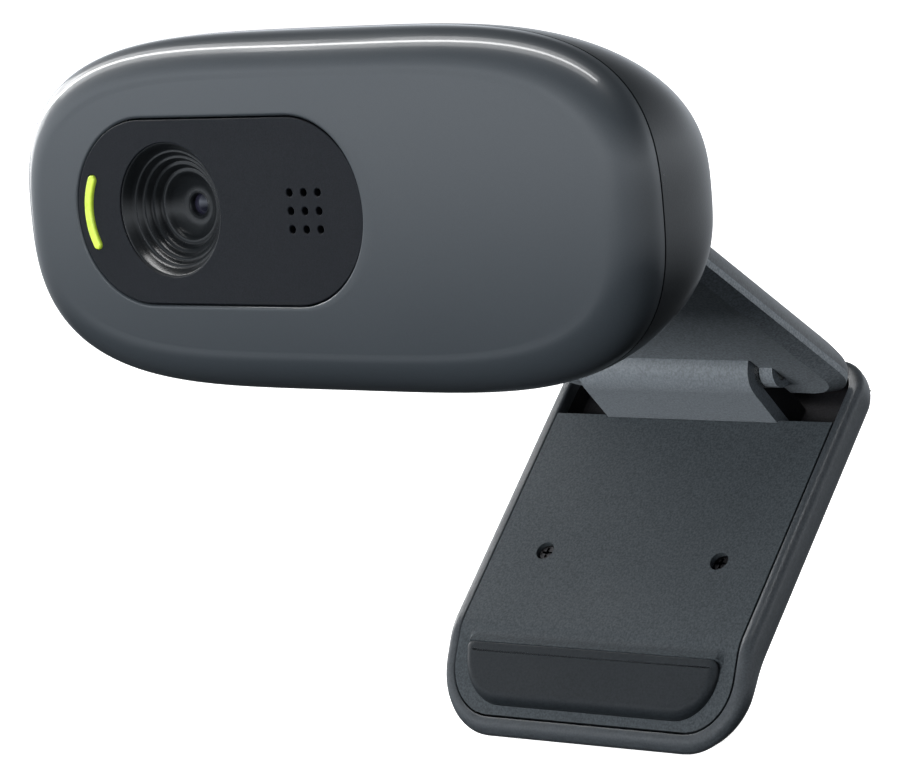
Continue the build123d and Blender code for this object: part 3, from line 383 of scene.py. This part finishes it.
def arc_bar(width, count=28):
    """Loop round a curved bar with round ends beside the lens, as (x, z)."""
    half = math.radians(LIGHT_ARC_HALF_ANGLE)
    points = []
    for step in range(count + 1):
        turn = math.pi - half + 2 * half * step / count
        reach = LIGHT_ARC_RADIUS + width / 2
        points.append((reach * math.cos(turn), reach * math.sin(turn)))
    points += end_cap(math.pi + half, width, 0.0)
    for step in range(count + 1):
        turn = math.pi + half - 2 * half * step / count
        reach = LIGHT_ARC_RADIUS - width / 2
        points.append((reach * math.cos(turn), reach * math.sin(turn)))
    points += end_cap(math.pi - half, width, math.pi)
    return [(x + LIGHT_ARC_CENTRE[0], z + LIGHT_ARC_CENTRE[1]) for x, z in points]


def end_cap(turn, width, start, count=8):
    """Half circle that closes one end of the curved bar."""
    middle = (LIGHT_ARC_RADIUS * math.cos(turn), LIGHT_ARC_RADIUS * math.sin(turn))
    points = []
    for step in range(1, count):
        angle = turn + start + math.pi * step / count
        points.append((middle[0] + width / 2 * math.cos(angle), middle[1] + width / 2 * math.sin(angle)))
    return points


def flat_plate(name, loops, front_y, thick, round_edge):
    """Plate in the head's face plane with holes: a filled 2D curve with rounded edges, as a mesh."""
    curve = bpy.data.curves.new(name, "CURVE")
    curve.dimensions = "2D"
    curve.fill_mode = "BOTH"
    curve.extrude = (thick / 2 - round_edge) * MM
    curve.bevel_depth = round_edge * MM
    curve.bevel_resolution = 3
    curve.offset = -round_edge * MM
    for loop in loops:
        spline = curve.splines.new("POLY")
        spline.points.add(len(loop) - 1)
        spline.use_cyclic_u = True
        for point, (x, z) in zip(spline.points, loop):
            point.co = (x * MM, z * MM, 0, 1)
    holder = bpy.data.objects.new(name, curve)
    bpy.context.scene.collection.objects.link(holder)
    bpy.context.view_layer.update()
    mesh = bpy.data.meshes.new_from_object(holder.evaluated_get(bpy.context.evaluated_depsgraph_get()))
    bpy.data.objects.remove(holder)
    for vertex in mesh.vertices:
        x, z, depth = vertex.co
        vertex.co = head_place(x / MM, front_y + thick / 2 - depth / MM, z / MM)
    finish_shading(mesh, 30)
    return mesh


def face_insert_mesh():
    """Pill plate with the lens hole, nine microphone holes and the light's slot."""
    loops = [pill(PILL_RADIUS - INSERT_GAP), circle(LENS, LENS_HOLE_RADIUS, 96), arc_bar(LIGHT_SLOT_WIDTH)]
    for column in (-1, 0, 1):
        for row in (-1, 0, 1):
            centre = (MIC_CENTRE[0] + column * MIC_PITCH, MIC_CENTRE[1] + row * MIC_PITCH)
            loops.append(circle(centre, MIC_HOLE_RADIUS, 24))
    return flat_plate("face_insert_skin", loops, INSERT_FRONT_Y, INSERT_THICK, INSERT_EDGE)


# (radius, y) from the hood's edge inwards: cone, a row for each rounded step, inner cone, lens seat
LENS_WELL = (
    (6.30, 0.95), (6.16, 0.60), (6.08, 0.60), (5.98, 0.70), (5.62, 1.30), (5.46, 1.62),
    (5.36, 1.66), (5.20, 1.62), (5.08, 1.72), (4.98, 2.06), (4.86, 2.20),
    (4.74, 2.20), (4.58, 2.16), (4.46, 2.26), (4.36, 2.60), (4.24, 2.76),
    (4.12, 2.74), (3.94, 2.70), (3.80, 2.82), (3.68, 3.16), (3.54, 3.34),
    (3.40, 3.34), (3.24, 3.28), (3.08, 3.36), (2.92, 3.66), (2.60, 3.98), (2.00, 4.32),
    (1.40, 4.52), (1.24, 4.46), (1.12, 4.42), (1.02, 4.50), (0.96, 4.72), (0.92, 5.20),
)


def lens_well_mesh():
    """Rings of the lens hood and barrel: a cone, four rounded steps, an inner cone and the lens seat."""
    points, faces = lathe(LENS_WELL, LENS)
    return mesh_from("lens_well_rings", points, faces, head_place, 50)


def lens_mesh():
    """Front lens: a small glass cap with its rim tucked under the barrel."""
    profile = [(LENS_RADIUS, LENS_HIDDEN_Y)]
    steps = 12
    for step in range(steps + 1):
        reach = LENS_RADIUS * (1 - step / steps)
        profile.append((max(reach, 0.001), LENS_EDGE_Y - LENS_RISE * (1 - (reach / LENS_RADIUS) ** 2)))
    points, faces = lathe(profile, LENS, 64)
    return mesh_from("front_lens_cap", points, faces, head_place, 60)


# ---- leg shapes ----------------------------------------------------------------------------------
LEG_HALF_WIDTH, LEG_TOP, LEG_BOTTOM = 18.3, 5.0, -38.0
LEG_FRONT_Z, LEG_THICK = -4.75, 4.6
LEG_BACK_Z = LEG_FRONT_Z - LEG_THICK
LEG_RIM = 1.42
TOE_BEND_Y = -28.5
TOE_FRONT_FALL, TOE_BACK_FALL = 4.0, 1.2
PANEL_HALF_WIDTH, PANEL_TOP_Y, PANEL_BOTTOM_Y, PANEL_CORNER = 16.8, -2.75, -36.5, 5.0
PAD_HALF_WIDTH, PAD_TOP_Y, PAD_BOTTOM_Y, PAD_FALL = 15.2, -30.2, -35.6, 1.9
PAD_SIDE_EDGE, PAD_TOP_EDGE = 0.8, 0.15
PAD_SINK = 0.2                  # its outline starts this far under the leg's front
LEG_HOLES, LEG_HOLE_RADIUS = ((-10.6, -19.3), (10.6, -19.3)), 1.0
BEND_SOFTNESS = 1.2
LEG_TOP_CORNER, LEG_BOTTOM_CORNER, LEG_BACK_CORNER = 4.0, 6.5, 3.0
# (how far in from the leg's outline, how far under its front), from inside the tray over the rim to the flank
LEG_LIP = (
    (LEG_RIM, 1.4), (LEG_RIM, 0.30), (LEG_RIM - 0.03, 0.16), (LEG_RIM - 0.10, 0.06), (LEG_RIM - 0.22, 0.0),
    (0.80, 0.0), (0.60, 0.04), (0.40, 0.13), (0.22, 0.28), (0.09, 0.48), (0.02, 0.68), (0.0, 0.90),
)
FLANK_STRAIGHT = 0.30           # share of the thickness above the back's rounding
POCKET_START, POCKET_LEAST_DEPTH, POCKET_FLOOR_WALL = 1.4, 1.5, 1.2
POCKET_HALF_WIDTH, POCKET_END_Y = 17, -8
PANEL_THICK, PANEL_EDGE = 1.15, 0.10
TONGUE_GAP_HALF_WIDTH, TONGUE_GAP_Y = 10.45, (-3.05, 0.0)
THROUGH_PANEL = (LEG_FRONT_Z - 3, LEG_FRONT_Z + 2)      # levels that its cutters run between


def fall(y, amount):
    """How far a leg surface has bent back at this place, with a soft start to the bend."""
    past = TOE_BEND_Y - y
    length = TOE_BEND_Y - LEG_BOTTOM
    if past <= -BEND_SOFTNESS:
        return 0.0
    if past < BEND_SOFTNESS:
        past = (past + BEND_SOFTNESS) ** 2 / (4 * BEND_SOFTNESS)
    return amount * past / length


def front_z(y):
    """Height of the leg's front surface."""
    return LEG_FRONT_Z - fall(y, TOE_FRONT_FALL)


def back_z(y):
    """Height of the leg's back surface."""
    return LEG_BACK_Z - fall(y, TOE_BACK_FALL)


def rounded_loop(half_width, top, bottom, top_radius, bottom_radius, count=400):
    """Evenly spaced loop round a rectangle with rounded corners, as (x, y)."""
    corners = (
        (half_width - bottom_radius, bottom + bottom_radius, bottom_radius, -90),
        (half_width - top_radius, top - top_radius, top_radius, 0),
        (-half_width + top_radius, top - top_radius, top_radius, 90),
        (-half_width + bottom_radius, bottom + bottom_radius, bottom_radius, 180),
    )
    points = []
    for x, y, radius, start in corners:
        for step in range(13):
            turn = math.radians(start + 90 * step / 12)
            points.append((x + radius * math.cos(turn), y + radius * math.sin(turn)))
    return even_loop(points_apart(points), count)


def points_apart(points):
    """Drops points that repeat the one before."""
    kept = [points[0]]
    for point in points[1:]:
        if math.dist(point, kept[-1]) > 1e-6:
            kept.append(point)
    return kept


def leg_loop(inset):
    """The leg's outline moved in by an inset."""
    return rounded_loop(LEG_HALF_WIDTH - inset, LEG_TOP - inset, LEG_BOTTOM + inset,
                        max(LEG_TOP_CORNER - inset, 0.4), max(LEG_BOTTOM_CORNER - inset, 0.4))


def leg_shell_mesh():
    """Tray of the leg: inner wall, lip, rim, rounded flank and back."""
    rings = []
    for inset, depth in LEG_LIP:
        rings.append([(x, y, front_z(y) - depth) for x, y in leg_loop(inset)])
    turns = 14
    for step in range(turns + 1):
        turn = math.pi / 2 * step / turns
        inset = LEG_BACK_CORNER * (1 - math.cos(turn))
        share = FLANK_STRAIGHT + (1 - FLANK_STRAIGHT) * math.sin(turn)
        rings.append([(x, y, front_z(y) + (back_z(y) - front_z(y)) * share) for x, y in leg_loop(inset)])
    bands, middle = 22, 0.3
    for step in range(1, bands + 1):
        inset = LEG_BACK_CORNER + (LEG_HALF_WIDTH - LEG_BACK_CORNER - middle) * step / bands
        rings.append([(x, y, back_z(y)) for x, y in leg_loop(inset)])
    points, faces = skin(rings, cap_end=True)
    return mesh_from("leg_shell_skin", points, faces, leg_place, 40)


def leg_pocket_mesh():
    """Inside of the leg behind the hinge, walls and floor, made near-black as painted shade."""
    outline = leg_loop(LEG_RIM)
    floor_z = LEG_BACK_Z + POCKET_FLOOR_WALL
    rings = [[(x, y, front_z(y) - POCKET_START) for x, y in outline],
             [(x, y, min(floor_z, front_z(y) - POCKET_LEAST_DEPTH)) for x, y in outline]]
    points, faces = skin(rings)
    start = len(points)
    half, top = POCKET_HALF_WIDTH, LEG_TOP - LEG_RIM
    corners = ((-half, POCKET_END_Y), (half, POCKET_END_Y), (half, top), (-half, top))
    points += [(x, y, floor_z) for x, y in corners]
    faces.append((start, start + 1, start + 2, start + 3))
    return mesh_from("leg_pocket", points, faces, leg_place, 40)


def smooth_step(value):
    """0 below 0, 1 above 1, and an even rise between."""
    value = min(max(value, 0.0), 1.0)
    return value * value * (3 - 2 * value)


def panel_height(x, y):
    """Height of the panel's surface: the leg's front with the ramp that leads up to the pad."""
    base = front_z(y)
    if y < PAD_TOP_Y - 0.02:
        return base
    rise = smooth_step((TOE_BEND_Y + 0.2 - y) / (TOE_BEND_Y + 0.2 - PAD_TOP_Y))
    side = smooth_step((PAD_HALF_WIDTH + 0.12 - abs(x)) / 0.3)
    return base + (LEG_FRONT_Z - base) * rise * side


def panel_half_width(y):
    """Half the panel's width at a height, narrowed by its round bottom corners."""
    up = y - PANEL_BOTTOM_Y
    if up >= PANEL_CORNER:
        return PANEL_HALF_WIDTH
    return PANEL_HALF_WIDTH - PANEL_CORNER + math.sqrt(max(PANEL_CORNER**2 - (PANEL_CORNER - up) ** 2, 0.0))


def leg_panel_object():
    """Inner cover of the leg as a thin sheet with two screw holes."""
    rows, columns = 170, 124
    rings = []
    for row in range(rows + 1):
        y = PANEL_TOP_Y + (PANEL_BOTTOM_Y + 0.02 - PANEL_TOP_Y) * row / rows
        half = panel_half_width(y)
        ring = []
        for column in range(columns + 1):
            x = half * (2 * column / columns - 1)
            ring.append((x, y, panel_height(x, y)))
        rings.append(ring)
    points, faces = skin(rings, closed=False)
    mesh = mesh_from("leg_panel_skin", points, faces, leg_place, 30)
    obj = add_object("leg_panel_skin", mesh, "leg", MATERIALS["panel_grey"], ["leg_panel"])
    solidify = obj.modifiers.new("thickness", "SOLIDIFY")
    solidify.thickness = PANEL_THICK * MM
    solidify.offset = -1.0 if leg_normal_faces_front(mesh) else 1.0
    apply_modifiers(obj)
    for x, y in LEG_HOLES:
        cut(obj, leg_peg((x, y), LEG_HOLE_RADIUS, THROUGH_PANEL))
    cut(obj, leg_box((-TONGUE_GAP_HALF_WIDTH, TONGUE_GAP_HALF_WIDTH), TONGUE_GAP_Y, THROUGH_PANEL))
    finish_shading(obj.data, 32)
    bevelled(obj, PANEL_EDGE, 2, 50)


def leg_normal_faces_front(mesh):
    """True if the sheet's faces point out of the leg's front."""
    front = leg_place(0, 0, 1) - leg_place(0, 0, 0)
    return sum(face.normal.dot(front) for face in mesh.polygons) > 0


def leg_peg(centre, radius, levels):
    """Upright peg in the leg frame, for cutting."""
    rings = [[(x, y, z) for x, y in circle(centre, radius)] for z in levels]
    points, faces = skin(rings, cap_start=True, cap_end=True)
    return loose("peg", points, faces, leg_place)


def leg_box(x, y, z):
    """Box in the leg frame, for cutting."""
    corners = ((x[0], y[0]), (x[1], y[0]), (x[1], y[1]), (x[0], y[1]))
    rings = [[(*corner, level) for corner in corners] for level in z]
    points, faces = skin(rings, cap_start=True, cap_end=True)
    return loose("box", points, faces, leg_place)


def toe_pad_mesh():
    """Rubber pad with a leaning face, a crisp top edge and well rounded sides."""
    top_corner, bottom_corner = 0.7, 4.7
    top_blend = 1.4

    def loop(inset):
        top = PAD_TOP_Y - inset * PAD_TOP_EDGE / PAD_SIDE_EDGE
        return rounded_loop(PAD_HALF_WIDTH - inset, top, PAD_BOTTOM_Y + inset, top_corner,
                            max(bottom_corner - inset, 0.6), 320)

    def drop(y, share):
        size = PAD_TOP_EDGE + (PAD_SIDE_EDGE - PAD_TOP_EDGE) * smooth_step((PAD_TOP_Y - y) / top_blend)
        return size * share

    def top_z(y):
        return LEG_FRONT_Z - PAD_FALL * (PAD_TOP_Y - y) / (PAD_TOP_Y - PAD_BOTTOM_Y)

    rings = [[(x, y, front_z(y) - PAD_SINK) for x, y in loop(0)]]
    turns = 10
    for step in range(turns + 1):
        turn = math.pi / 2 * step / turns
        inset = PAD_SIDE_EDGE * (1 - math.cos(turn))
        rings.append([(x, y, top_z(y) - drop(y, 1 - math.sin(turn))) for x, y in loop(inset)])
    for inset in (1.0, 1.3):
        rings.append([(x, y, top_z(y)) for x, y in loop(inset)])
    points, faces = skin(rings, cap_end=True)
    return mesh_from("toe_pad_skin", points, faces, leg_place, 40)


# ---- materials -----------------------------------------------------------------------------------
class Surface:
    """A node material built up from a Principled shader."""

    def __init__(self, name, color, roughness, **sockets):
        self.material = bpy.data.materials.new(name)
        self.material.use_nodes = True
        self.tree = self.material.node_tree
        self.shader = self.tree.nodes["Principled BSDF"]
        self.shader.inputs["Base Color"].default_value = (*color, 1)
        self.shader.inputs["Roughness"].default_value = roughness
        for socket, value in sockets.items():
            self.shader.inputs[socket.replace("_", " ")].default_value = value
        self.coords = self.node("ShaderNodeTexCoord")

    def node(self, kind, **inputs):
        """Adds a node and sets its sockets."""
        made = self.tree.nodes.new(kind)
        for socket, value in inputs.items():
            made.inputs[socket.replace("_", " ")].default_value = value
        return made

    def link(self, source, target):
        """Joins an output to an input."""
        self.tree.links.new(source, target)

    def noise(self, per_mm, detail=4.0, roughness=0.55):
        """Noise whose features are about 1 / per_mm millimetres across."""
        noise = self.node("ShaderNodeTexNoise", Scale=per_mm / MM, Detail=detail, Roughness=roughness)
        self.link(self.coords.outputs["Object"], noise.inputs["Vector"])
        return noise.outputs["Fac"]

    def cells(self, per_mm):
        """Cell pattern for moulded grain."""
        cells = self.node("ShaderNodeTexVoronoi", Scale=per_mm / MM)
        self.link(self.coords.outputs["Object"], cells.inputs["Vector"])
        return cells.outputs["Distance"]

    def ramp(self, source, low, high, from_value, to_value):
        """Maps a value range to another."""
        ramp = self.node("ShaderNodeMapRange")
        self.link(source, ramp.inputs["Value"])
        ramp.inputs["From Min"].default_value = low
        ramp.inputs["From Max"].default_value = high
        ramp.inputs["To Min"].default_value = from_value
        ramp.inputs["To Max"].default_value = to_value
        return ramp.outputs["Result"]

    def mix_color(self, factor, color_a, color_b):
        """Two colours mixed by a pattern."""
        mix = self.node("ShaderNodeMix")
        mix.data_type = "RGBA"
        self.link(factor, mix.inputs[0])
        mix.inputs[6].default_value = (*color_a, 1)
        mix.inputs[7].default_value = (*color_b, 1)
        return mix.outputs[2]

    def color_from(self, output):
        """Takes the base colour from a node."""
        self.link(output, self.shader.inputs["Base Color"])

    def rough_from(self, output):
        """Takes the roughness from a node."""
        self.link(output, self.shader.inputs["Roughness"])

    def bump(self, height, strength, distance):
        """Adds relief of the given depth in millimetres on top of what is there."""
        bump = self.node("ShaderNodeBump", Strength=strength, Distance=distance * MM)
        self.link(height, bump.inputs["Height"])
        normal = self.shader.inputs["Normal"]
        if normal.is_linked:
            self.link(normal.links[0].from_socket, bump.inputs["Normal"])
        self.link(bump.outputs["Normal"], normal)
        return bump


def grained(name, color, roughness, grain_per_mm, depth, spread=0.25, **sockets):
    """Moulded plastic with fine spark-eroded grain and slight colour variation."""
    surface = Surface(name, color, roughness, **sockets)
    fine = surface.noise(grain_per_mm, 3.0)
    broad = surface.noise(0.08, 3.0)
    dark = tuple(channel * (1 - spread) for channel in color)
    light = tuple(channel * (1 + spread) for channel in color)
    surface.color_from(surface.mix_color(surface.ramp(fine, 0.35, 0.65, 0, 1), dark, light))
    surface.rough_from(surface.ramp(broad, 0.3, 0.7, roughness - 0.05, roughness + 0.07))
    surface.bump(fine, 0.6, depth)
    return surface.material


def gloss_shell_material():
    """Slate-grey glossy shell: finely flecked base under a clear coat."""
    surface = Surface("gloss_shell", (0.023, 0.027, 0.031), 0.34)
    surface.shader.inputs["Coat Weight"].default_value = 0.9
    surface.shader.inputs["Coat Roughness"].default_value = 0.08
    fleck = surface.noise(9.0, 2.0)
    surface.color_from(surface.mix_color(surface.ramp(fleck, 0.3, 0.7, 0, 1),
                                         (0.019, 0.023, 0.027), (0.023, 0.028, 0.033)))
    broad = surface.noise(0.05, 2.0)
    surface.rough_from(surface.ramp(broad, 0.3, 0.7, 0.31, 0.38))
    surface.bump(surface.noise(0.12, 2.0), 0.05, 0.03)
    return surface.material


def glass_material():
    """Coated front lens: dark, mirror-smooth, with a violet-blue coat, and a violet sheen painted into its
    colour where it is seen edge-on.
    """
    surface = Surface("lens_glass", (0.012, 0.013, 0.02), 0.04)
    surface.shader.inputs["Coat Weight"].default_value = 1.0
    surface.shader.inputs["Coat Tint"].default_value = (0.85, 0.90, 1.0, 1)
    surface.shader.inputs["Specular IOR Level"].default_value = 0.7
    # painted sheen: the base colour turns violet towards the lens's edges as seen from the camera
    edge_sheen = surface.node("ShaderNodeLayerWeight", Blend=0.4)
    surface.color_from(surface.mix_color(edge_sheen.outputs["Facing"],
                                         (0.006, 0.007, 0.010), (0.020, 0.016, 0.028)))
    surface.rough_from(surface.ramp(surface.noise(1.5, 2.0), 0.3, 0.7, 0.03, 0.07))
    return surface.material


def light_material():
    """Yellow-green light bar, softly clouded and faintly glowing."""
    surface = Surface("light_green", (0.26, 0.40, 0.04), 0.28)
    surface.shader.inputs["Coat Weight"].default_value = 0.6
    surface.shader.inputs["Emission Color"].default_value = (0.56, 0.80, 0.06, 1)
    surface.shader.inputs["Emission Strength"].default_value = 0.20
    cloud = surface.noise(0.6, 2.0)
    surface.color_from(surface.mix_color(cloud, (0.24, 0.34, 0.02), (0.40, 0.50, 0.06)))
    surface.rough_from(surface.ramp(cloud, 0.3, 0.7, 0.22, 0.34))
    return surface.material


def steel_material(name, color, roughness):
    """Drawn or blackened steel with fine lines."""
    surface = Surface(name, color, roughness, Metallic=1.0)
    lines = surface.noise(14.0, 5.0)
    dark = tuple(channel * 0.8 for channel in color)
    surface.color_from(surface.mix_color(lines, dark, color))
    surface.rough_from(surface.ramp(lines, 0.3, 0.7, roughness - 0.08, roughness + 0.12))
    surface.bump(lines, 0.3, 0.01)
    return surface.material


def board_material():
    """Green solder mask over faint tracks."""
    surface = Surface("board_green", (0.01, 0.12, 0.05), 0.35)
    tracks = surface.cells(0.9)
    surface.color_from(surface.mix_color(surface.ramp(tracks, 0.1, 0.2, 0, 1),
                                         (0.03, 0.22, 0.09), (0.008, 0.10, 0.04)))
    surface.rough_from(surface.ramp(surface.noise(2.0), 0.3, 0.7, 0.28, 0.45))
    surface.bump(tracks, 0.3, 0.03)
    return surface.material


MATERIALS = {
    "gloss_shell": gloss_shell_material(),
    "dark_shell": grained("dark_shell", (0.010, 0.012, 0.014), 0.32, 6.0, 0.012, Coat_Weight=0.35,
                          Coat_Roughness=0.16),
    "insert_black": grained("insert_black", (0.006, 0.007, 0.009), 0.48, 8.0, 0.012, Specular_IOR_Level=0.22),
    "hood_black": grained("hood_black", (0.006, 0.007, 0.008), 0.30, 9.0, 0.006, Coat_Weight=0.6,
                          Coat_Roughness=0.2, Specular_IOR_Level=0.3),
    "barrel_black": grained("barrel_black", (0.008, 0.008, 0.009), 0.28, 9.0, 0.004),
    "lens_glass": glass_material(),
    # near-black inner plastic; where it lines the leg's pocket its darkness is painted shade
    "inner_plastic": grained("inner_plastic", (0.008, 0.008, 0.009), 0.7, 5.0, 0.02, Specular_IOR_Level=0.1),
    "chip_black": grained("chip_black", (0.012, 0.012, 0.012), 0.55, 6.0, 0.01),
    "light_green": light_material(),
    "board_green": board_material(),
    "soft_rubber": grained("soft_rubber", (0.009, 0.011, 0.013), 0.42, 5.0, 0.008, Specular_IOR_Level=0.25),
    "pin_steel": steel_material("pin_steel", (0.62, 0.62, 0.60), 0.25),
    "screw_steel": steel_material("screw_steel", (0.025, 0.025, 0.027), 0.45),
    "arm_grey": grained("arm_grey", (0.108, 0.122, 0.134), 0.46, 4.5, 0.030, spread=0.35),
    "arm_top_grey": grained("arm_top_grey", (0.040, 0.045, 0.050), 0.42, 4.5, 0.025, spread=0.3),
    "leg_grey": grained("leg_grey", (0.026, 0.030, 0.034), 0.36, 5.0, 0.018, spread=0.25),
    "panel_grey": grained("panel_grey", (0.028, 0.033, 0.037), 0.50, 5.0, 0.022, spread=0.3,
                          Specular_IOR_Level=0.10),
    "tongue_grey": grained("tongue_grey", (0.105, 0.118, 0.130), 0.42, 5.0, 0.030, spread=0.22),
}

# ---- CAD nodes keep their shape and get their finish; two get rounded edges -------------------------
SLOT_OF = {part["node"]: part["material_slot"] for part in frame["record"]["subparts"]}
for node, obj in frame["nodes"].items():
    obj.data.materials.clear()
    obj.data.materials.append(MATERIALS[SLOT_OF[node]])
bevelled(frame["nodes"]["hinge_tongue"], 0.22, 3, 50)
bevelled(frame["nodes"]["arm_frame"], 0.15, 2, 35)

# ---- detailed pieces -----------------------------------------------------------------------------
points, faces = front_shell_mesh()
mesh = mesh_from("front_shell_skin", points, faces, head_place, 40)
add_object("front_shell_skin", mesh, "head", MATERIALS["gloss_shell"], ["front_shell"])

rear_shell_object()

add_object("face_insert_skin", face_insert_mesh(), "head", MATERIALS["insert_black"],
           ["face_insert"])
add_object("lens_well_rings", lens_well_mesh(), "head", MATERIALS["hood_black"],
           ["lens_hood", "lens_barrel"])
add_object("front_lens_cap", lens_mesh(), "head", MATERIALS["lens_glass"], ["front_lens"])
light_front_y = INSERT_FRONT_Y - LIGHT_PROUD
light_bar = flat_plate("light_bar", [arc_bar(LIGHT_WIDTH)], light_front_y, INSERT_THICK, LIGHT_EDGE)
add_object("light_bar", light_bar, "head", MATERIALS["light_green"], ["led_light_pipe"])
add_object("leg_shell_skin", leg_shell_mesh(), "leg", MATERIALS["leg_grey"], ["leg_shell"])
# the pocket's near-black inner_plastic is painted shade inside the leg
add_object("leg_pocket", leg_pocket_mesh(), "leg", MATERIALS["inner_plastic"])
leg_panel_object()
add_object("toe_pad_skin", toe_pad_mesh(), "leg", MATERIALS["soft_rubber"], ["toe_pad"])

# ---- camera, light and floor ----------------------------------------------------------------------
CAMERA_AT = Vector((247.06, -315.79, 48.26)) * MM
CAMERA_RIGHT = Vector((0.7739, 0.6276, -0.0847))
CAMERA_UP = Vector((-0.0237, 0.1623, 0.9865))
CAMERA_LENS = 169.01
FLOOR_Z = -46.0
BOWL_REACH, BOWL_BEND, BOWL_HEIGHT = 1900.0, 500.0, 1500.0
WORLD_GLOW = ((-24, 0.03), (8, 1.1), (20, 0.5), (34, 0.14), (60, 0.10))    # (elevation, brightness)
ZENITH_GLOW = 0.12
# directions from the part's origin; the light behind the bright line on the shell's top runs through them
STRIP_PATH = ((-0.944, 0.324, 0.054), (-0.929, -0.075, 0.36), (-0.63, -0.12, 0.743), (0.225, -0.27, 0.89))


def make_camera():
    """Camera at the photographed angle."""
    data = bpy.data.cameras.new("camera")
    data.lens = CAMERA_LENS
    data.sensor_width = 36.0
    data.clip_start = 0.02
    data.clip_end = 10.0
    camera = bpy.data.objects.new("camera", data)
    bpy.context.scene.collection.objects.link(camera)
    back = CAMERA_RIGHT.cross(CAMERA_UP).normalized()
    up = back.cross(CAMERA_RIGHT).normalized()
    turn = Matrix((CAMERA_RIGHT.normalized(), up, back)).transposed()
    camera.matrix_world = Matrix.Translation(CAMERA_AT) @ turn.to_4x4()
    bpy.context.scene.camera = camera


def area_light(name, at, target, size, power, diffuse=True, glossy=True, long_way=(1.0, 0.0, 0.0)):
    """Soft rectangular light aimed at a point; millimetres and watts, its long side along a direction."""
    data = bpy.data.lights.new(name, "AREA")
    data.shape = "RECTANGLE"
    data.size, data.size_y = size[0] * MM, size[1] * MM
    data.energy = power
    light = bpy.data.objects.new(name, data)
    bpy.context.scene.collection.objects.link(light)
    away = (Vector(at) - Vector(target)).normalized()
    along = (Vector(long_way) - away * away.dot(Vector(long_way))).normalized()
    turn = Matrix((along, away.cross(along), away)).transposed()
    light.matrix_world = Matrix.Translation(Vector(at) * MM) @ turn.to_4x4()
    light.visible_camera = False
    light.visible_diffuse = diffuse
    light.visible_glossy = glossy


def strip_light(name, start, end, distance, width, brightness):
    """Long narrow light between two directions from the part's origin, seen only in glossy surfaces."""
    ends = [Vector(start).normalized() * distance, Vector(end).normalized() * distance]
    along = ends[1] - ends[0]
    power = brightness * math.pi * along.length * width * MM * MM
    area_light(name, (ends[0] + ends[1]) / 2, (0, -30, 10), (along.length, width), power, diffuse=False,
               long_way=along)


def make_studio():
    """Pale floor that curves up all round into a pale wall, lit softly by itself."""
    flat = BOWL_REACH - BOWL_BEND
    profile = [(0.01, FLOOR_Z), (400.0, FLOOR_Z), (flat, FLOOR_Z)]
    steps = 16
    for step in range(1, steps + 1):
        turn = math.pi / 2 * step / steps
        profile.append((flat + BOWL_BEND * math.sin(turn), FLOOR_Z + BOWL_BEND * (1 - math.cos(turn))))
    profile.append((BOWL_REACH, FLOOR_Z + BOWL_HEIGHT))
    rings = [[(x, y, z) for x, y in circle((0.0, 0.0), radius, 96)] for radius, z in profile]
    points, faces = skin(rings)
    mesh = mesh_from("studio_bowl", points, faces, lambda x, y, z: Vector((x, y, z)) * MM)
    bowl = bpy.data.objects.new("studio_bowl", mesh)
    bpy.context.scene.collection.objects.link(bowl)
    bowl.visible_glossy = False
    bowl.visible_diffuse = False
    surface = Surface("studio_white", (0.86, 0.86, 0.86), 0.9)
    surface.shader.inputs["Specular IOR Level"].default_value = 0.0
    surface.shader.inputs["Emission Color"].default_value = (1, 1, 1, 1)
    surface.shader.inputs["Emission Strength"].default_value = 0.8
    surface.color_from(surface.mix_color(surface.noise(0.004, 2.0), (0.85, 0.85, 0.85), (0.88, 0.88, 0.88)))
    mesh.materials.append(surface.material)


def make_world():
    """Studio air seen in glossy surfaces: dark below, a bright band at camera height, dim above."""
    world = bpy.data.worlds.new("studio")
    bpy.context.scene.world = world
    world.use_nodes = True
    tree = world.node_tree
    coords = tree.nodes.new("ShaderNodeTexCoord")
    split = tree.nodes.new("ShaderNodeSeparateXYZ")
    ramp = tree.nodes.new("ShaderNodeValToRGB")
    height = tree.nodes.new("ShaderNodeMapRange")
    height.inputs["From Min"].default_value = -1.0
    tree.links.new(coords.outputs["Generated"], split.inputs[0])
    tree.links.new(split.outputs["Z"], height.inputs["Value"])
    tree.links.new(height.outputs["Result"], ramp.inputs["Fac"])
    stops = ramp.color_ramp.elements
    stops[0].position, stops[0].color = 0.0, (0, 0, 0, 1)
    stops[1].position, stops[1].color = 1.0, (ZENITH_GLOW, ZENITH_GLOW, ZENITH_GLOW, 1)
    for elevation, level in WORLD_GLOW:
        stop = stops.new((1 + math.sin(math.radians(elevation))) / 2)
        stop.color = (level, level, level, 1)
    tree.links.new(ramp.outputs["Color"], tree.nodes["Background"].inputs["Strength"])
    tree.nodes["Background"].inputs["Color"].default_value = (0.90, 0.96, 1.03, 1)


make_camera()
make_studio()
make_world()
area_light("front_left_box", (-640, -780, 330), target=(0, -20, 0), size=(900, 560), power=7.0, glossy=False)
area_light("low_fill", (-200, -780, 40), target=(0, 0, -10), size=(700, 160), power=10.0, glossy=False)
area_light("overhead", (100, 60, 1100), target=(0, 0, 0), size=(900, 900), power=9.0, glossy=False)
area_light("right_back", (640, 760, 200), target=(0, 0, -10), size=(620, 420), power=8.0, glossy=False)
for number, (strip_start, strip_end) in enumerate(zip(STRIP_PATH, STRIP_PATH[1:])):
    strip_light(f"strip_{number}", strip_start, strip_end, distance=700, width=50, brightness=12.0)
    strip_light(f"strip_glow_{number}", strip_start, strip_end, distance=720, width=300, brightness=2.0)
bpy.context.scene.view_settings.view_transform = "Standard"
